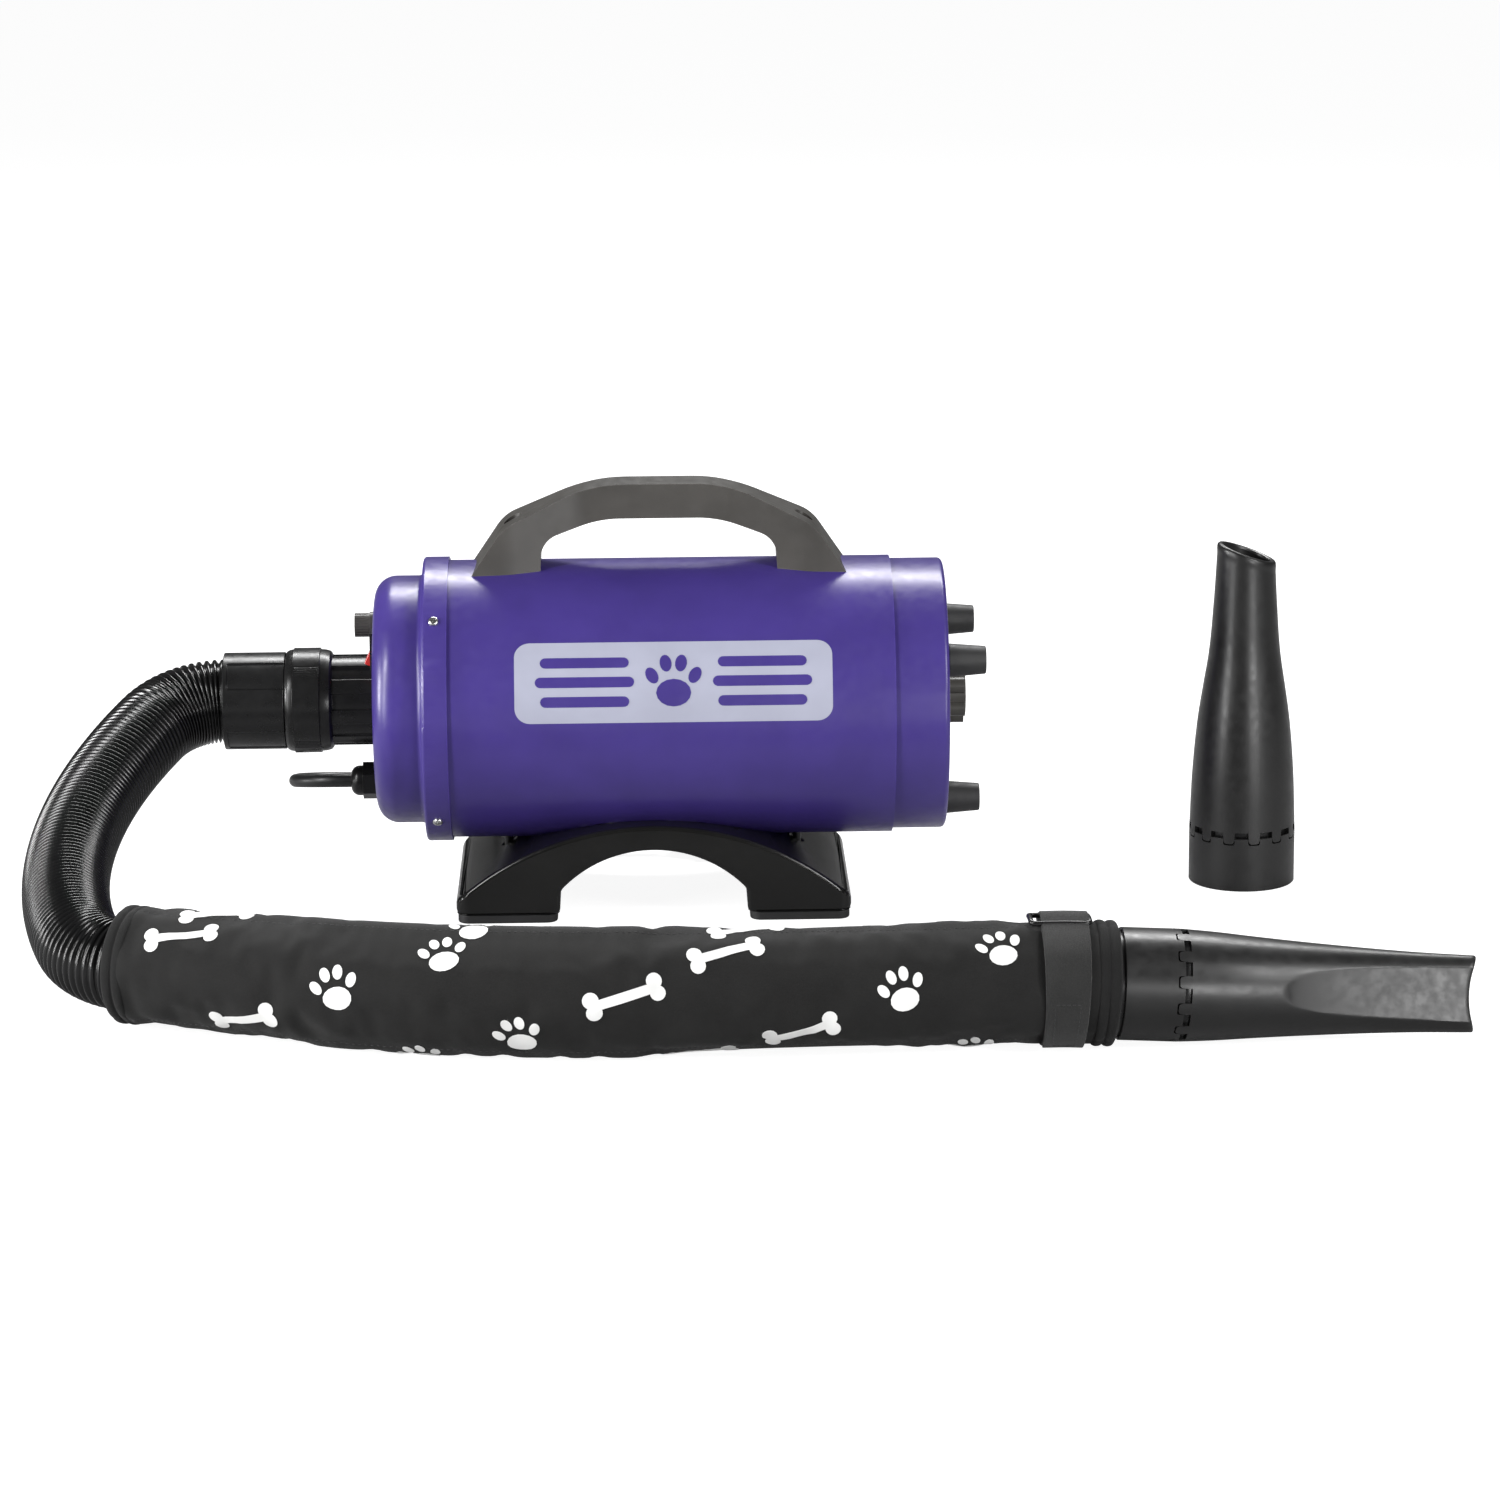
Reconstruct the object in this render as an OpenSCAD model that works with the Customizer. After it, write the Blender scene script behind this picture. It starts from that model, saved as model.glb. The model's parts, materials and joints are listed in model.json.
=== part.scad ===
// Two-motor pet dryer: a round blower body on a saddle base, with a hose in a
// padded sleeve, a flat nozzle on the hose and a spare round nozzle beside it.
// X runs along the body from the air outlet to the air intake, Z is up, and the
// origin is the centre of the underside of the foot pad at the outlet end.

/* [Body] */
// Height of the body's axis above the table
axis_h = 121; // [120:0.5:122]
// Distance along X from the outlet-end foot pad to the middle of the body
foot_to_body = 97.5; // [97:0.5:98]
// Outside radius of the steel body tube
tube_r = 83; // [82.9:0.1:83.1]
// Outlet end of the tube, from the middle of the body
tube_front = -144; // [-145:0.5:-143.5]
// Intake end of the tube
tube_rear = 132; // [131.5:0.5:133]
// Thickness of the sheet steel
sheet = 1.6; // [1.4:0.1:1.7]

/* [Front cover] */
// Position of the cover's flat end face
face_x = -175.2; // [-176:0.2:-175]
// Radius of the cover's dome
dome_r = 74; // [73:0.5:75]
// Radius of the dome's rounded edge
dome_edge = 13; // [11:0.5:14]
// Radius of the band that grips the tube
band_r = 85; // [84.9:0.1:85.5]
// Width of the band
band_w = 15.3; // [15:0.1:17]

/* [Rear end] */
// Radius of the rear cap
cap_r = 81; // [80.6:0.1:81.1]
// Position of the cap's end face
cap_x = 163.8; // [163:0.2:165]
// Radius of the air intake in the cap
intake_r = 48; // [46:0.5:49]
// Length of the tapered rubber feet behind the cap
rear_foot_len = 22.2; // [20:0.2:24]
// Radius of the circle that the rear feet stand on
rear_foot_ring = 65; // [63:0.5:66]
// Number of lobes on the filter knob
knob_lobes = 6; // [5:1:8]

/* [Base and handle] */
// Length of the saddle base along the body
base_len = 234; // [232:1:236]
// Width of the saddle base
base_w = 142; // [138:1:144]
// Distance from the middle of the body to the middle of the base
base_x = -11; // [-12:0.5:-10]
// Radius of the arched top of the base
base_arch_r = 177; // [174:1:180]
// Height of the top of that arch
base_arch_h = 58.5; // [57:0.5:59]
// Height of the rubber foot pads
pad_h = 5.5; // [5:0.5:6]
// Height of the top of the handle
handle_top = 252.5; // [251:0.5:254]
// Width of the grip
grip_w = 26; // [24:1:28]
// Length of the handle
handle_len = 226; // [222:1:230]

/* [Hose and nozzles] */
// Outside radius of the hose
hose_r = 25; // [24.9:0.05:25]
// Radius of the padded sleeve
sleeve_r = 33.6; // [33:0.2:34]
// Height of the sleeved hose's axis above the table
wand_h = 35; // [34.9:0.1:36]
// Length of the round nozzle on its longer side
round_nozzle_h = 209; // [205:1:212]
// Angle of the slanted cut on the round nozzle
tip_cut = 18; // [12:1:22]
// Length of the flat nozzle
flat_nozzle_len = 196; // [192:1:200]
// Height of the flat nozzle's slot
slot_h = 42; // [38:1:46]

/* [Hidden] */
$fn = 96;
eps = 0.01;
run_gap = 0.06;              // radial clearance of the turning fits
tube_in = tube_r - sheet;
// Screws that hold the front cover, the base and the handle
cover_screw_x = -138;
cover_screw_r = 2;
screw_r = 2.5;
nut_r = 4.6;
nut_h = 4;
base_screw_dx = 86.5;        // from the middle of the base
base_screw_y = 14;
handle_screw_dx = 86.5;      // from the middle of the handle
handle_x = -5.5;
seat_h = 214;                // height of the handle screws' seats
base_seat_h = 30;            // height of the base screws' seats
pad_w = 59;                  // width of a foot pad along X
// Air outlet, lock ring and hose cuff
spigot_r = 27.2;
spigot_bore = 23;
spigot_end = -222;
ring_front = -229;
ring_rear = -201;
ring_r = 31.5;
cuff_front = -266;
cuff_r = 29;
hose_wall = 2.5;
bend_step = 8;               // largest angle between stations on a bend
// Knob, switch and cable gland on the front cover: [across, above the axis]
knob_at = [30, 39];
switch_at = [-29, 37];
gland_at = [0, -50];
pot_shaft_r = 3;
rocker_r = 9;
rocker_w = 10.4;
rocker_tilt = 12;
pivot_x = face_x + 0.2;
cord_r = 4;
plug_r = 17;
// Free loop of the hose: [roll of the bend, bend radius, bend angle]
loop_lead = 26;
loop_bends = [[-27.5, 49, 58.8], [20, 255, 52], [-13.6, 55.1, 51.6]];
// Sleeved run of the hose on the table
wand_from = [-300, -265.4];
wand_heading = -20.4;
wand_lead = 101;
wand_bend_r = 500;
wand_bend = 22.4;
wand_straight = 219;
dip_r = 200;
dip = 3.2;
hose_tail = 21.2;
strap_w = 24;
strap_mid = 4;
nozzle_wall = 2.2;
socket_r = 29;
socket_len = 25.5;
lip_r = socket_r + 0.25;
collar_r = 30.8;
spare_collar_r = 31.9;
collar_len = 32.5;
lip_len = 7;
nozzle_roll = -12;             // the flat face of the flat nozzle leans up a little
slots = 13;
slot_w = 5.4;
slot_start = 8;
round_nozzle_at = [346.5, 10];
// Motors: positions of their intake faces
motor_front_x = 8;
motor_rear_x = 112;
fan_r = 56;
fan_len = 34;
motor_r = 42;
shaft_r = 4;
liner_r = 74;                // inside radius of the acoustic liner
// Heater: ends of the duct, and the coil
duct_rear = -84;
duct_front = -140;
coil_turns = 6;
coil_r = 36;
coil_pitch = 6.5;
// Cord: its turn beside the gland and its fall to the plug on the table
turn_r = 28;
turn_gap = 40;
turn_tilt = 13.3;
fall = 25;
fall_r = 60;
cord_lead = 36;
cord_back = 40;
cord_end = 60;
cord_down = axis_h + gland_at[1] - (2 * turn_r + turn_gap) * sin(turn_tilt) - plug_r;
fall_len = (cord_down - 2 * fall_r * (1 - cos(fall))) / sin(fall);

// ---- Frames and shared shapes ----

// Everything is drawn from the middle of the body, then moved to the part's origin.
module from_body() {
    translate([foot_to_body, 0, 0]) children();
}

// Local Z points along -X from position x on the body's axis, and local X points up.
module facing_front(x, across = 0, up = 0) {
    translate([x, across, axis_h + up]) rotate([0, -90, 0]) children();
}

// A ring or disc on the body's axis between two positions.
module ring(x0, x1, ro, ri = 0) {
    facing_front(x1) difference() {
        cylinder(h = x1 - x0, r = ro);
        if (ri > 0) translate([0, 0, -1]) cylinder(h = x1 - x0 + 2, r = ri);
    }
}

// Half profile of a disc whose far edge is rounded.
module rounded_disc_2d(r, h, edge) {
    square([r - edge, h]);
    square([r, h - edge]);
    translate([r - edge, h - edge]) intersection() {
        circle(edge);
        square(edge);
    }
}

// Places its children on a circle around local Z, starting at the given angle.
module around(count, r, start = 0) {
    for (i = [0 : count - 1]) rotate([0, 0, start + i * 360 / count]) translate([r, 0, 0]) children();
}

// A rectangle with rounded corners, centred.
module rounded_rect(w, h, r) {
    square([w - 2 * r, h], center = true);
    square([w, h - 2 * r], center = true);
    for (sx = [-1, 1], sy = [-1, 1]) translate([sx * (w / 2 - r), sy * (h / 2 - r)]) circle(r);
}

// Screw along local Z: the head stands on z = 0 and the shank runs down from it.
module pan_screw(shank, len, head, head_h) {
    difference() {
        union() {
            translate([0, 0, -len]) cylinder(h = len + eps, r = shank, $fn = 32);
            rotate_extrude($fn = 48) rounded_disc_2d(head, head_h, head_h * 0.6);
        }
        for (a = [0, 90]) rotate([0, 0, a]) translate([0, 0, head_h])
            cube([head * 1.1, head * 0.24, head_h * 1.2], center = true);
    }
}

module hex_nut(r, h, bore) {
    difference() {
        cylinder(h = h, r = r, $fn = 6);
        translate([0, 0, -1]) cylinder(h = h + 2, r = bore, $fn = 32);
    }
}

// Outline with rounded corners. Each corner is [x, y, radius].
function flat(p) = [p[0], p[1]];
function unit(v) = v / norm(v);
function turned(v, a) = [v[0] * cos(a) - v[1] * sin(a), v[0] * sin(a) + v[1] * cos(a)];
function corner_arc(a, b, c, n) =
    let (
        u = unit(flat(a) - flat(b)),
        v = unit(flat(c) - flat(b)),
        half = acos(u * v) / 2,
        centre = flat(b) + unit(u + v) * b[2] / sin(half),
        from = flat(b) + u * b[2] / tan(half) - centre,
        way = sign(cross(v, u))
    )
    [for (k = [0 : n]) centre + turned(from, way * (180 - 2 * half) * k / n)];
function outline(p, n = 8) =
    let (m = len(p))
    [for (i = [0 : m - 1]) for (q = p[i][2] == 0 ? [flat(p[i])]
        : corner_arc(p[(i + m - 1) % m], p[i], p[(i + 1) % m], n)) q];

// Mirrored pair of an outline's half: its corners on the left come back on the right.
function mirrored(p) = concat(p, [for (i = [len(p) - 1 : -1 : 0]) [-p[i][0], p[i][1], p[i][2]]]);

// Stations along a path that starts on local X: each is [point, direction, side].
// Steps are [straight length, roll, bend radius, bend angle].
function stations(steps, p = [0, 0, 0], t = [1, 0, 0], side = [0, 1, 0], i = 0) =
    i == len(steps) ? [] :
    let (
        p1 = p + t * steps[i][0],
        s1 = side * cos(steps[i][1]) + cross(t, side) * sin(steps[i][1]),
        r = steps[i][2],
        bend = steps[i][3],
        parts = ceil(bend / bend_step),
        arc = [for (k = [0 : parts]) let (a = parts == 0 ? 0 : bend * k / parts)
            [p1 + (t * sin(a) + s1 * (1 - cos(a))) * r, t * cos(a) + s1 * sin(a), s1 * cos(a) - t * sin(a)]],
        end = arc[parts],
        first = steps[i][0] > 0 ? 0 : 1
    )
    concat(i == 0 ? [[p, t, side]] : [], [for (k = [first : 1 : parts]) arc[k]],
        stations(steps, end[0], end[1], end[2], i + 1));

// Points of a circle around each station.
function circle_points(path, r, sides) =
    [for (s = path) let (u = unit(cross([0, 0, 1], s[1])), v = cross(s[1], u))
        for (k = [0 : sides - 1]) s[0] + (u * cos(360 * k / sides) + v * sin(360 * k / sides)) * r];

// Faces of the wall between neighbouring circles, from point number `at` on.
function wall_faces(count, sides, at, inward) =
    [for (i = [0 : count - 2], k = [0 : sides - 1]) let (
        a = at + i * sides + k,
        b = at + i * sides + (k + 1) % sides,
        c = b + sides,
        d = a + sides)
        for (f = inward ? [[a, b, c], [a, c, d]] : [[a, c, b], [a, d, c]]) f];

function end_faces(sides, outer, inner, flip) =
    [for (k = [0 : sides - 1]) let (a = outer + k, b = outer + (k + 1) % sides,
        c = inner + (k + 1) % sides, d = inner + k)
        for (f = flip ? [[a, c, b], [a, d, c]] : [[a, b, c], [a, c, d]]) f];

// Hose or sleeve along a path, open at both ends.
module tube_run(steps, ro, ri, sides = 32) {
    path = stations(steps);
    count = len(path);
    last = (count - 1) * sides;
    inner = count * sides;
    polyhedron(
        points = concat(circle_points(path, ro, sides), circle_points(path, ri, sides)),
        faces = concat(wall_faces(count, sides, 0, false), wall_faces(count, sides, inner, true),
            end_faces(sides, 0, inner, false), end_faces(sides, last, inner + last, true)));
}

// Round cord along a path.
module rod_run(steps, r, sides = 16) {
    path = stations(steps);
    last = (len(path) - 1) * sides;
    polyhedron(
        points = circle_points(path, r, sides),
        faces = concat(wall_faces(len(path), sides, 0, false),
            [[for (k = [0 : sides - 1]) k]], [[for (k = [sides - 1 : -1 : 0]) last + k]]));
}

module tube_piece(len, ro, ri) {
    difference() {
        cylinder(h = len, r = ro);
        if (ri > 0) translate([0, 0, -1]) cylinder(h = len + 2, r = ri);
    }
}

// Frame at the start of the sleeved run: local X along the hose.
module on_wand() {
    translate([wand_from[0], wand_from[1], wand_h]) rotate([0, 0, wand_heading]) children();
}

// Frame at the straight part of the sleeved run, after its gentle bend.
module on_wand_straight() {
    on_wand() translate([wand_lead + wand_bend_r * sin(wand_bend), wand_bend_r * (1 - cos(wand_bend)), 0])
        rotate([0, 0, wand_bend]) children();
}

// Frame at the open end of the flat nozzle's collar: local X along the nozzle.
module on_nozzle() {
    on_wand_straight() translate([wand_straight + dip_r * sin(dip), 0, -dip_r * (1 - cos(dip))])
        rotate([0, dip, 0]) translate([hose_tail + 3, 0, 0]) children();
}

// Frame at the middle of the strap, where the sleeved run starts to dip.
module on_strap() {
    lean = strap_mid / dip_r * 180 / PI;
    on_wand_straight() translate([wand_straight + dip_r * sin(lean), 0, -dip_r * (1 - cos(lean))])
        rotate([0, lean, 0]) children();
}

// ---- Body ----

module cover_screw_holes(r) {
    facing_front(cover_screw_x) around(4, 0, 45) rotate([0, 90, 0]) translate([0, 0, 70])
        cylinder(h = 30, r = r, $fn = 32);
}

module vertical_holes(dx, dy, x, r, z0, z1) {
    for (sx = [-1, 1], y = dy == 0 ? [0] : [-dy, dy]) translate([x + sx * dx, y, z0])
        cylinder(h = z1 - z0, r = r, $fn = 48);
}

module body_tube() {
    color("rebeccapurple") from_body() difference() {
        ring(tube_front, tube_rear, tube_r, tube_in);
        cover_screw_holes(cover_screw_r + 0.1);
        vertical_holes(base_screw_dx, base_screw_y, base_x, screw_r + 0.2, 30, 60);
        vertical_holes(handle_screw_dx, 0, handle_x, screw_r + 0.2, 190, 210);
    }
}

module front_cover() {
    depth = tube_front + band_w - face_x - 1.8;
    color("rebeccapurple") from_body() difference() {
        facing_front(tube_front + band_w - 1.8) rotate_extrude() difference() {
            union() {
                rounded_disc_2d(band_r, band_w, 2);
                rounded_disc_2d(dome_r, depth, dome_edge);
                difference() {
                    square([dome_r + 3, band_w + 3]);
                    translate([dome_r + 3, band_w + 3]) circle(3);
                }
            }
            translate([0, -1]) square([tube_r + 0.05, band_w - 0.7]);
            rounded_disc_2d(dome_r - sheet, depth - sheet, dome_edge - sheet);
        }
        ring(face_x - 1, face_x + 5, spigot_r + 0.1);
        facing_front(face_x + 5, gland_at[0], gland_at[1]) cylinder(h = 6, r = 8.1);
        facing_front(face_x + 5, knob_at[0], knob_at[1]) cylinder(h = 6, r = 3.6);
        facing_front(face_x + 2, switch_at[0], switch_at[1]) cube([20.6, 13, 10], center = true);
        cover_screw_holes(cover_screw_r + 0.1);
    }
}

module cover_screws() {
    color("gainsboro") from_body() facing_front(cover_screw_x) around(4, 0, 45)
        rotate([0, 90, 0]) translate([0, 0, band_r + eps]) pan_screw(cover_screw_r, 10, 3, 2);
}

module rear_cap() {
    inside = 12;
    depth = cap_x - tube_rear + inside;
    color("rebeccapurple") from_body() difference() {
        translate([tube_rear - inside, 0, axis_h]) rotate([0, 90, 0]) rotate_extrude() difference() {
            union() {
                rounded_disc_2d(cap_r, depth, 3);
                square([tube_in - 0.05, inside]);
            }
            translate([0, -1]) square([cap_r - sheet, 2]);
            rounded_disc_2d(cap_r - sheet, depth - sheet, 1.5);
        }
        ring(cap_x - 10, cap_x + 5, intake_r);
        rear_foot_places(cap_x - 10) cylinder(h = 20, r = 2.1, $fn = 32);
    }
}

module rear_foot_places(x) {
    translate([x, 0, axis_h]) rotate([0, 90, 0]) around(3, rear_foot_ring, 0) children();
}

module rear_feet() {
    color("#202022") from_body() rear_foot_places(cap_x + 0.02) difference() {
        cylinder(h = rear_foot_len, r1 = 10, r2 = 8.2);
        translate([0, 0, -1]) cylinder(h = rear_foot_len, r = 2.1, $fn = 32);
        translate([0, 0, 10]) cylinder(h = rear_foot_len, r = 4.2);
    }
}

module rear_foot_screws() {
    color("silver") from_body() rear_foot_places(cap_x + 10.04) {
        pan_screw(2, 17, 3.8, 2.4);
        translate([0, 0, -15.2]) hex_nut(4, 3, 2.04);
    }
}

// ---- Air intake: grille, foam filter, cover and knob ----

// Rows of round holes around local Z: [row radius, number of holes].
module hole_rows(rows, r, h) {
    for (row = rows) around(row[1], row[0]) translate([0, 0, -h / 2]) cylinder(h = h, r = r, $fn = 24);
}

module intake_grille() {
    depth = 13;
    color("silver") from_body() facing_front(cap_x - sheet - 0.02) difference() {
        union() {
            tube_piece(1.2, 56, intake_r - 1.5);
            tube_piece(depth, intake_r - 0.1, intake_r - 1.3);
            translate([0, 0, depth - 1.2]) cylinder(h = 1.2, r = intake_r - 0.1);
        }
        translate([0, 0, depth]) hole_rows([[16, 8], [26, 13], [36, 18]], 3.6, 6);
        cylinder(h = 2 * depth, r = 2.6, $fn = 32);
    }
}

module filter_stud() {
    color("silver") from_body() translate([cap_x - sheet - 15.6, 0, axis_h]) rotate([0, 90, 0]) {
        cylinder(h = 2.5, r = 5, $fn = 6);
        cylinder(h = 27, r = 2.5, $fn = 48);
    }
}

module air_filter() {
    color("#3a3a3c") from_body() facing_front(cap_x - sheet - 0.2) difference() {
        cylinder(h = 11, r = intake_r - 1.8);
        translate([0, 0, -1]) cylinder(h = 13, r = 3);
    }
}

module filter_cover() {
    color("#1b1b1d") from_body() facing_front(cap_x + 1.5) difference() {
        rotate_extrude() difference() {
            square([51, 1.4]);
            translate([51, 0]) rotate([0, 0, 45]) square(1, center = true);
        }
        hole_rows([[23, 12], [33, 18], [43, 24]], 3.2, 6);
        translate([0, 0, -1]) cylinder(h = 4, r = 3);
    }
}

module filter_knob() {
    color("#151517") from_body() translate([cap_x + 1.6, 0, axis_h]) rotate([0, 90, 0]) difference() {
        union() {
            cylinder(h = 2.4, r = 10);
            translate([0, 0, 2]) cylinder(h = 9.6, r = 14.5);
            translate([0, 0, 2]) around(knob_lobes, 13.6) cylinder(h = 8.8, r = 5);
        }
        translate([0, 0, -1]) cylinder(h = 10.5, r = 2.5 + run_gap, $fn = 48);
    }
}

// ---- Base ----

// Arched block of the base; grow insets or swells its top and its sides.
module saddle(grow, z0) {
    translate([base_x, 0, 0]) intersection() {
        translate([0, 0, z0]) linear_extrude(90)
            rounded_rect(base_len + 2 * grow, base_w + 2 * grow, 8 + grow);
        translate([0, 0, base_arch_h - base_arch_r]) rotate([90, 0, 0])
            cylinder(h = base_w + 20, r = base_arch_r + grow, center = true, $fn = 256);
    }
}

// The open arch through the base, from one long side to the other.
module base_arch(grow) {
    half = 55.5 + grow;
    translate([base_x, 0, 0]) intersection() {
        translate([0, 0, 43.5 - 75]) rotate([90, 0, 0])
            cylinder(h = base_w + 20, r = 75 + grow, center = true, $fn = 128);
        translate([-half, -base_w, -10]) cube([2 * half, 2 * base_w, 80]);
    }
}

module base() {
    wall = 3;
    color("#111113") from_body() difference() {
        saddle(0, pad_h + 0.02);
        base_arch(0);
        ring(-200, 200, tube_r + 0.05);
        difference() {
            saddle(-wall, 0);
            base_arch(wall);
            ring(-200, 200, tube_r + wall);
            vertical_holes(base_screw_dx, base_screw_y, base_x, 8, 0, 60);
        }
        vertical_holes(base_screw_dx, base_screw_y, base_x, screw_r + 0.2, 0, 60);
        vertical_holes(base_screw_dx, base_screw_y, base_x, 5.5, 0, base_seat_h);
    }
}

module foot_pads() {
    color("#1c1c1e") from_body() for (sx = [-1, 1]) translate([base_x + sx * base_screw_dx, 0, 0])
        difference() {
            linear_extrude(pad_h) rounded_rect(pad_w, base_w - 2, 7);
            for (y = [-base_screw_y, base_screw_y]) translate([0, y, -1]) cylinder(h = 10, r = 5.5);
        }
}

module base_screws() {
    color("silver") from_body() for (sx = [-1, 1], y = [-base_screw_y, base_screw_y])
        translate([base_x + sx * base_screw_dx, y, base_seat_h - eps]) rotate([180, 0, 0])
            pan_screw(screw_r, 17, 4.6, 3);
}

// Nuts inside the tube, for the base and the handle.
module frame_nuts() {
    color("silver") from_body() {
        for (sx = [-1, 1], y = [-base_screw_y, base_screw_y])
            translate([base_x + sx * base_screw_dx, y, 42.2]) hex_nut(nut_r, nut_h, screw_r + 0.05);
        for (sx = [-1, 1]) translate([handle_x + sx * handle_screw_dx, 0, 198.1])
            hex_nut(nut_r, nut_h, screw_r + 0.05);
    }
}

// ---- Handle ----

module handle_side() {
    half = handle_len / 2;
    opening_top = handle_top - 20.5;
    translate([handle_x, 0]) difference() {
        polygon(outline(mirrored([[-half + 2, 190, 0], [-half - 1, 196, 0],
            [-half + 21, 228.5, 28], [-40, handle_top, 90]])));
        polygon(outline(mirrored([[-71, 180, 0], [-69.5, 220, 14], [-34, opening_top, 70]])));
    }
}

module handle_plan() {
    half = handle_len / 2;
    foot = 24.5;
    translate([handle_x, 0]) polygon(outline(concat(
        mirrored([[-half - 5, -foot, 0], [-half + 24, -foot + 1.5, 60], [-46, -grip_w / 2, 60]]),
        mirrored([[half + 5, foot, 0], [half - 24, foot - 1.5, 60], [46, grip_w / 2, 60]]))));
}

module handle() {
    color("#2a2a2c") from_body() difference() {
        intersection() {
            translate([0, 40, 0]) rotate([90, 0, 0]) linear_extrude(80) handle_side();
            translate([0, 0, 150]) linear_extrude(120) handle_plan();
        }
        ring(-200, 200, tube_r + 0.05);
        vertical_holes(handle_screw_dx, 0, handle_x, screw_r + 0.2, 190, 260);
        vertical_holes(handle_screw_dx, 0, handle_x, 5.4, seat_h, 260);
    }
}

module handle_screws() {
    color("silver") from_body() for (sx = [-1, 1])
        translate([handle_x + sx * handle_screw_dx, 0, seat_h + eps]) pan_screw(screw_r, 18, 4.6, 3);
}

// ---- Air outlet, lock ring and hose ----

module outlet_spigot() {
    inner_face = face_x + sheet;
    color("#161618") from_body() {
        ring(ring_rear, inner_face + 4, spigot_r - 1.2, spigot_bore);
        ring(spigot_end, ring_rear, spigot_r, spigot_bore);
        ring(inner_face + 0.02, inner_face + 3, 34.5, spigot_bore);
        intersection() {
            ring(ring_rear - 1, face_x - 0.1, spigot_r, spigot_r - 2);
            facing_front(face_x) around(9, spigot_r, 20) cube([10, 9, 80], center = true);
        }
    }
}

module lock_ring() {
    len = ring_rear - ring_front;
    lip = 3;
    color("#19191b") from_body() facing_front(ring_rear - 0.05) {
        difference() {
            rotate_extrude() difference() {
                polygon([[24, 0], [ring_r - 1.5, 0], [ring_r - 0.4, 1.5], [ring_r - 0.4, len - 2],
                    [ring_r - 2, len], [24, len]]);
                translate([0, -1]) square([spigot_r + run_gap, len - lip + 1]);
                translate([0, -1]) square([25 + run_gap, len + 2]);
            }
        }
        around(30, ring_r - 0.9, 6) translate([0, 0, len / 2]) cube([1.6, 2.4, len - 12], center = true);
    }
}

module hose_cuff() {
    color("#18181a") from_body() difference() {
        union() {
            ring(cuff_front, ring_front - 0.3, cuff_r - 0.6);
            ring(ring_front - 0.4, ring_front + 3.1, 25);
            ring(ring_front + 3.05, spigot_end - 0.1, 26.9);
            ring(spigot_end - 0.2, spigot_end + 16, spigot_bore - run_gap);
            ring(cuff_front, cuff_front + 3, cuff_r);
            intersection() {
                ring(cuff_front, ring_front - 0.3, cuff_r, cuff_r - 2);
                facing_front(cuff_front) around(4, cuff_r, 0) cube([10, 26, 100], center = true);
            }
        }
        ring(cuff_front - 1, spigot_end + 20, 20);
        ring(cuff_front - 1, cuff_front + loop_lead, hose_r + 0.02);
    }
}

module hose_loop() {
    color("#121214") from_body() translate([cuff_front + loop_lead - 0.05, 0, axis_h]) rotate([0, 0, 180])
        tube_run([[loop_lead, loop_bends[0][0], loop_bends[0][1], loop_bends[0][2]],
            [0, loop_bends[1][0], loop_bends[1][1], loop_bends[1][2]],
            [0, loop_bends[2][0], loop_bends[2][1], loop_bends[2][2]]], hose_r, hose_r - hose_wall);
}

module hose_run() {
    color("#121214") from_body() on_wand() translate([0.6, 0, 0])
        tube_run([[wand_lead - 0.6, 0, wand_bend_r, wand_bend], [wand_straight, -90, dip_r, dip],
            [hose_tail, 0, 0, 0]], hose_r, hose_r - hose_wall);
}

module hose_end_cuff() {
    color("#19191b") from_body() on_nozzle() rotate([0, 90, 0]) difference() {
        translate([0, 0, -hose_tail - 1]) cylinder(h = hose_tail + 24, r = socket_r - run_gap);
        translate([0, 0, -hose_tail - 5]) cylinder(h = hose_tail + 2.2, r = hose_r + run_gap);
        translate([0, 0, -10]) cylinder(h = 60, r = 21);
    }
}

module sleeve() {
    color("#1a1a1c") from_body() on_wand() translate([-4, 0, 0])
        tube_run([[wand_lead + 4, 0, wand_bend_r, wand_bend], [wand_straight, -90, dip_r, dip],
            [hose_tail + 1.5, 0, 0, 0]], sleeve_r, sleeve_r - 4);
}

module strap() {
    color("#141416") from_body() on_strap() translate([-strap_w / 2, 0, 0]) {
        rotate([0, 90, 0]) tube_piece(strap_w, sleeve_r + 1.3, sleeve_r + 0.4);
        intersection() {
            rotate([0, 90, 0]) tube_piece(strap_w, sleeve_r + 2.5, sleeve_r + 1.2);
            translate([-1, -60, -24]) cube([40, 60, 50]);
        }
    }
}

module strap_buckle() {
    color("#0c0c0e") from_body() on_strap()
        translate([0, 0, sleeve_r + 1.35]) difference() {
            linear_extrude(3) rounded_rect(strap_w + 7, 18, 3);
            translate([0, 0, -1]) linear_extrude(5) rounded_rect(strap_w + 1, 12, 2);
        }
}

// ---- Nozzles ----

// Collar with a castellated edge, along local Z.
module nozzle_collar(len, r) {
    difference() {
        cylinder(h = len, r = r);
        translate([0, 0, -1]) cylinder(h = len + 2, r = socket_r);
        translate([0, 0, socket_len]) cylinder(h = len, r = lip_r + 0.05);
        around(slots, r, slot_start) translate([0, 0, len]) cube([12, slot_w, 10], center = true);
    }
}

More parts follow.
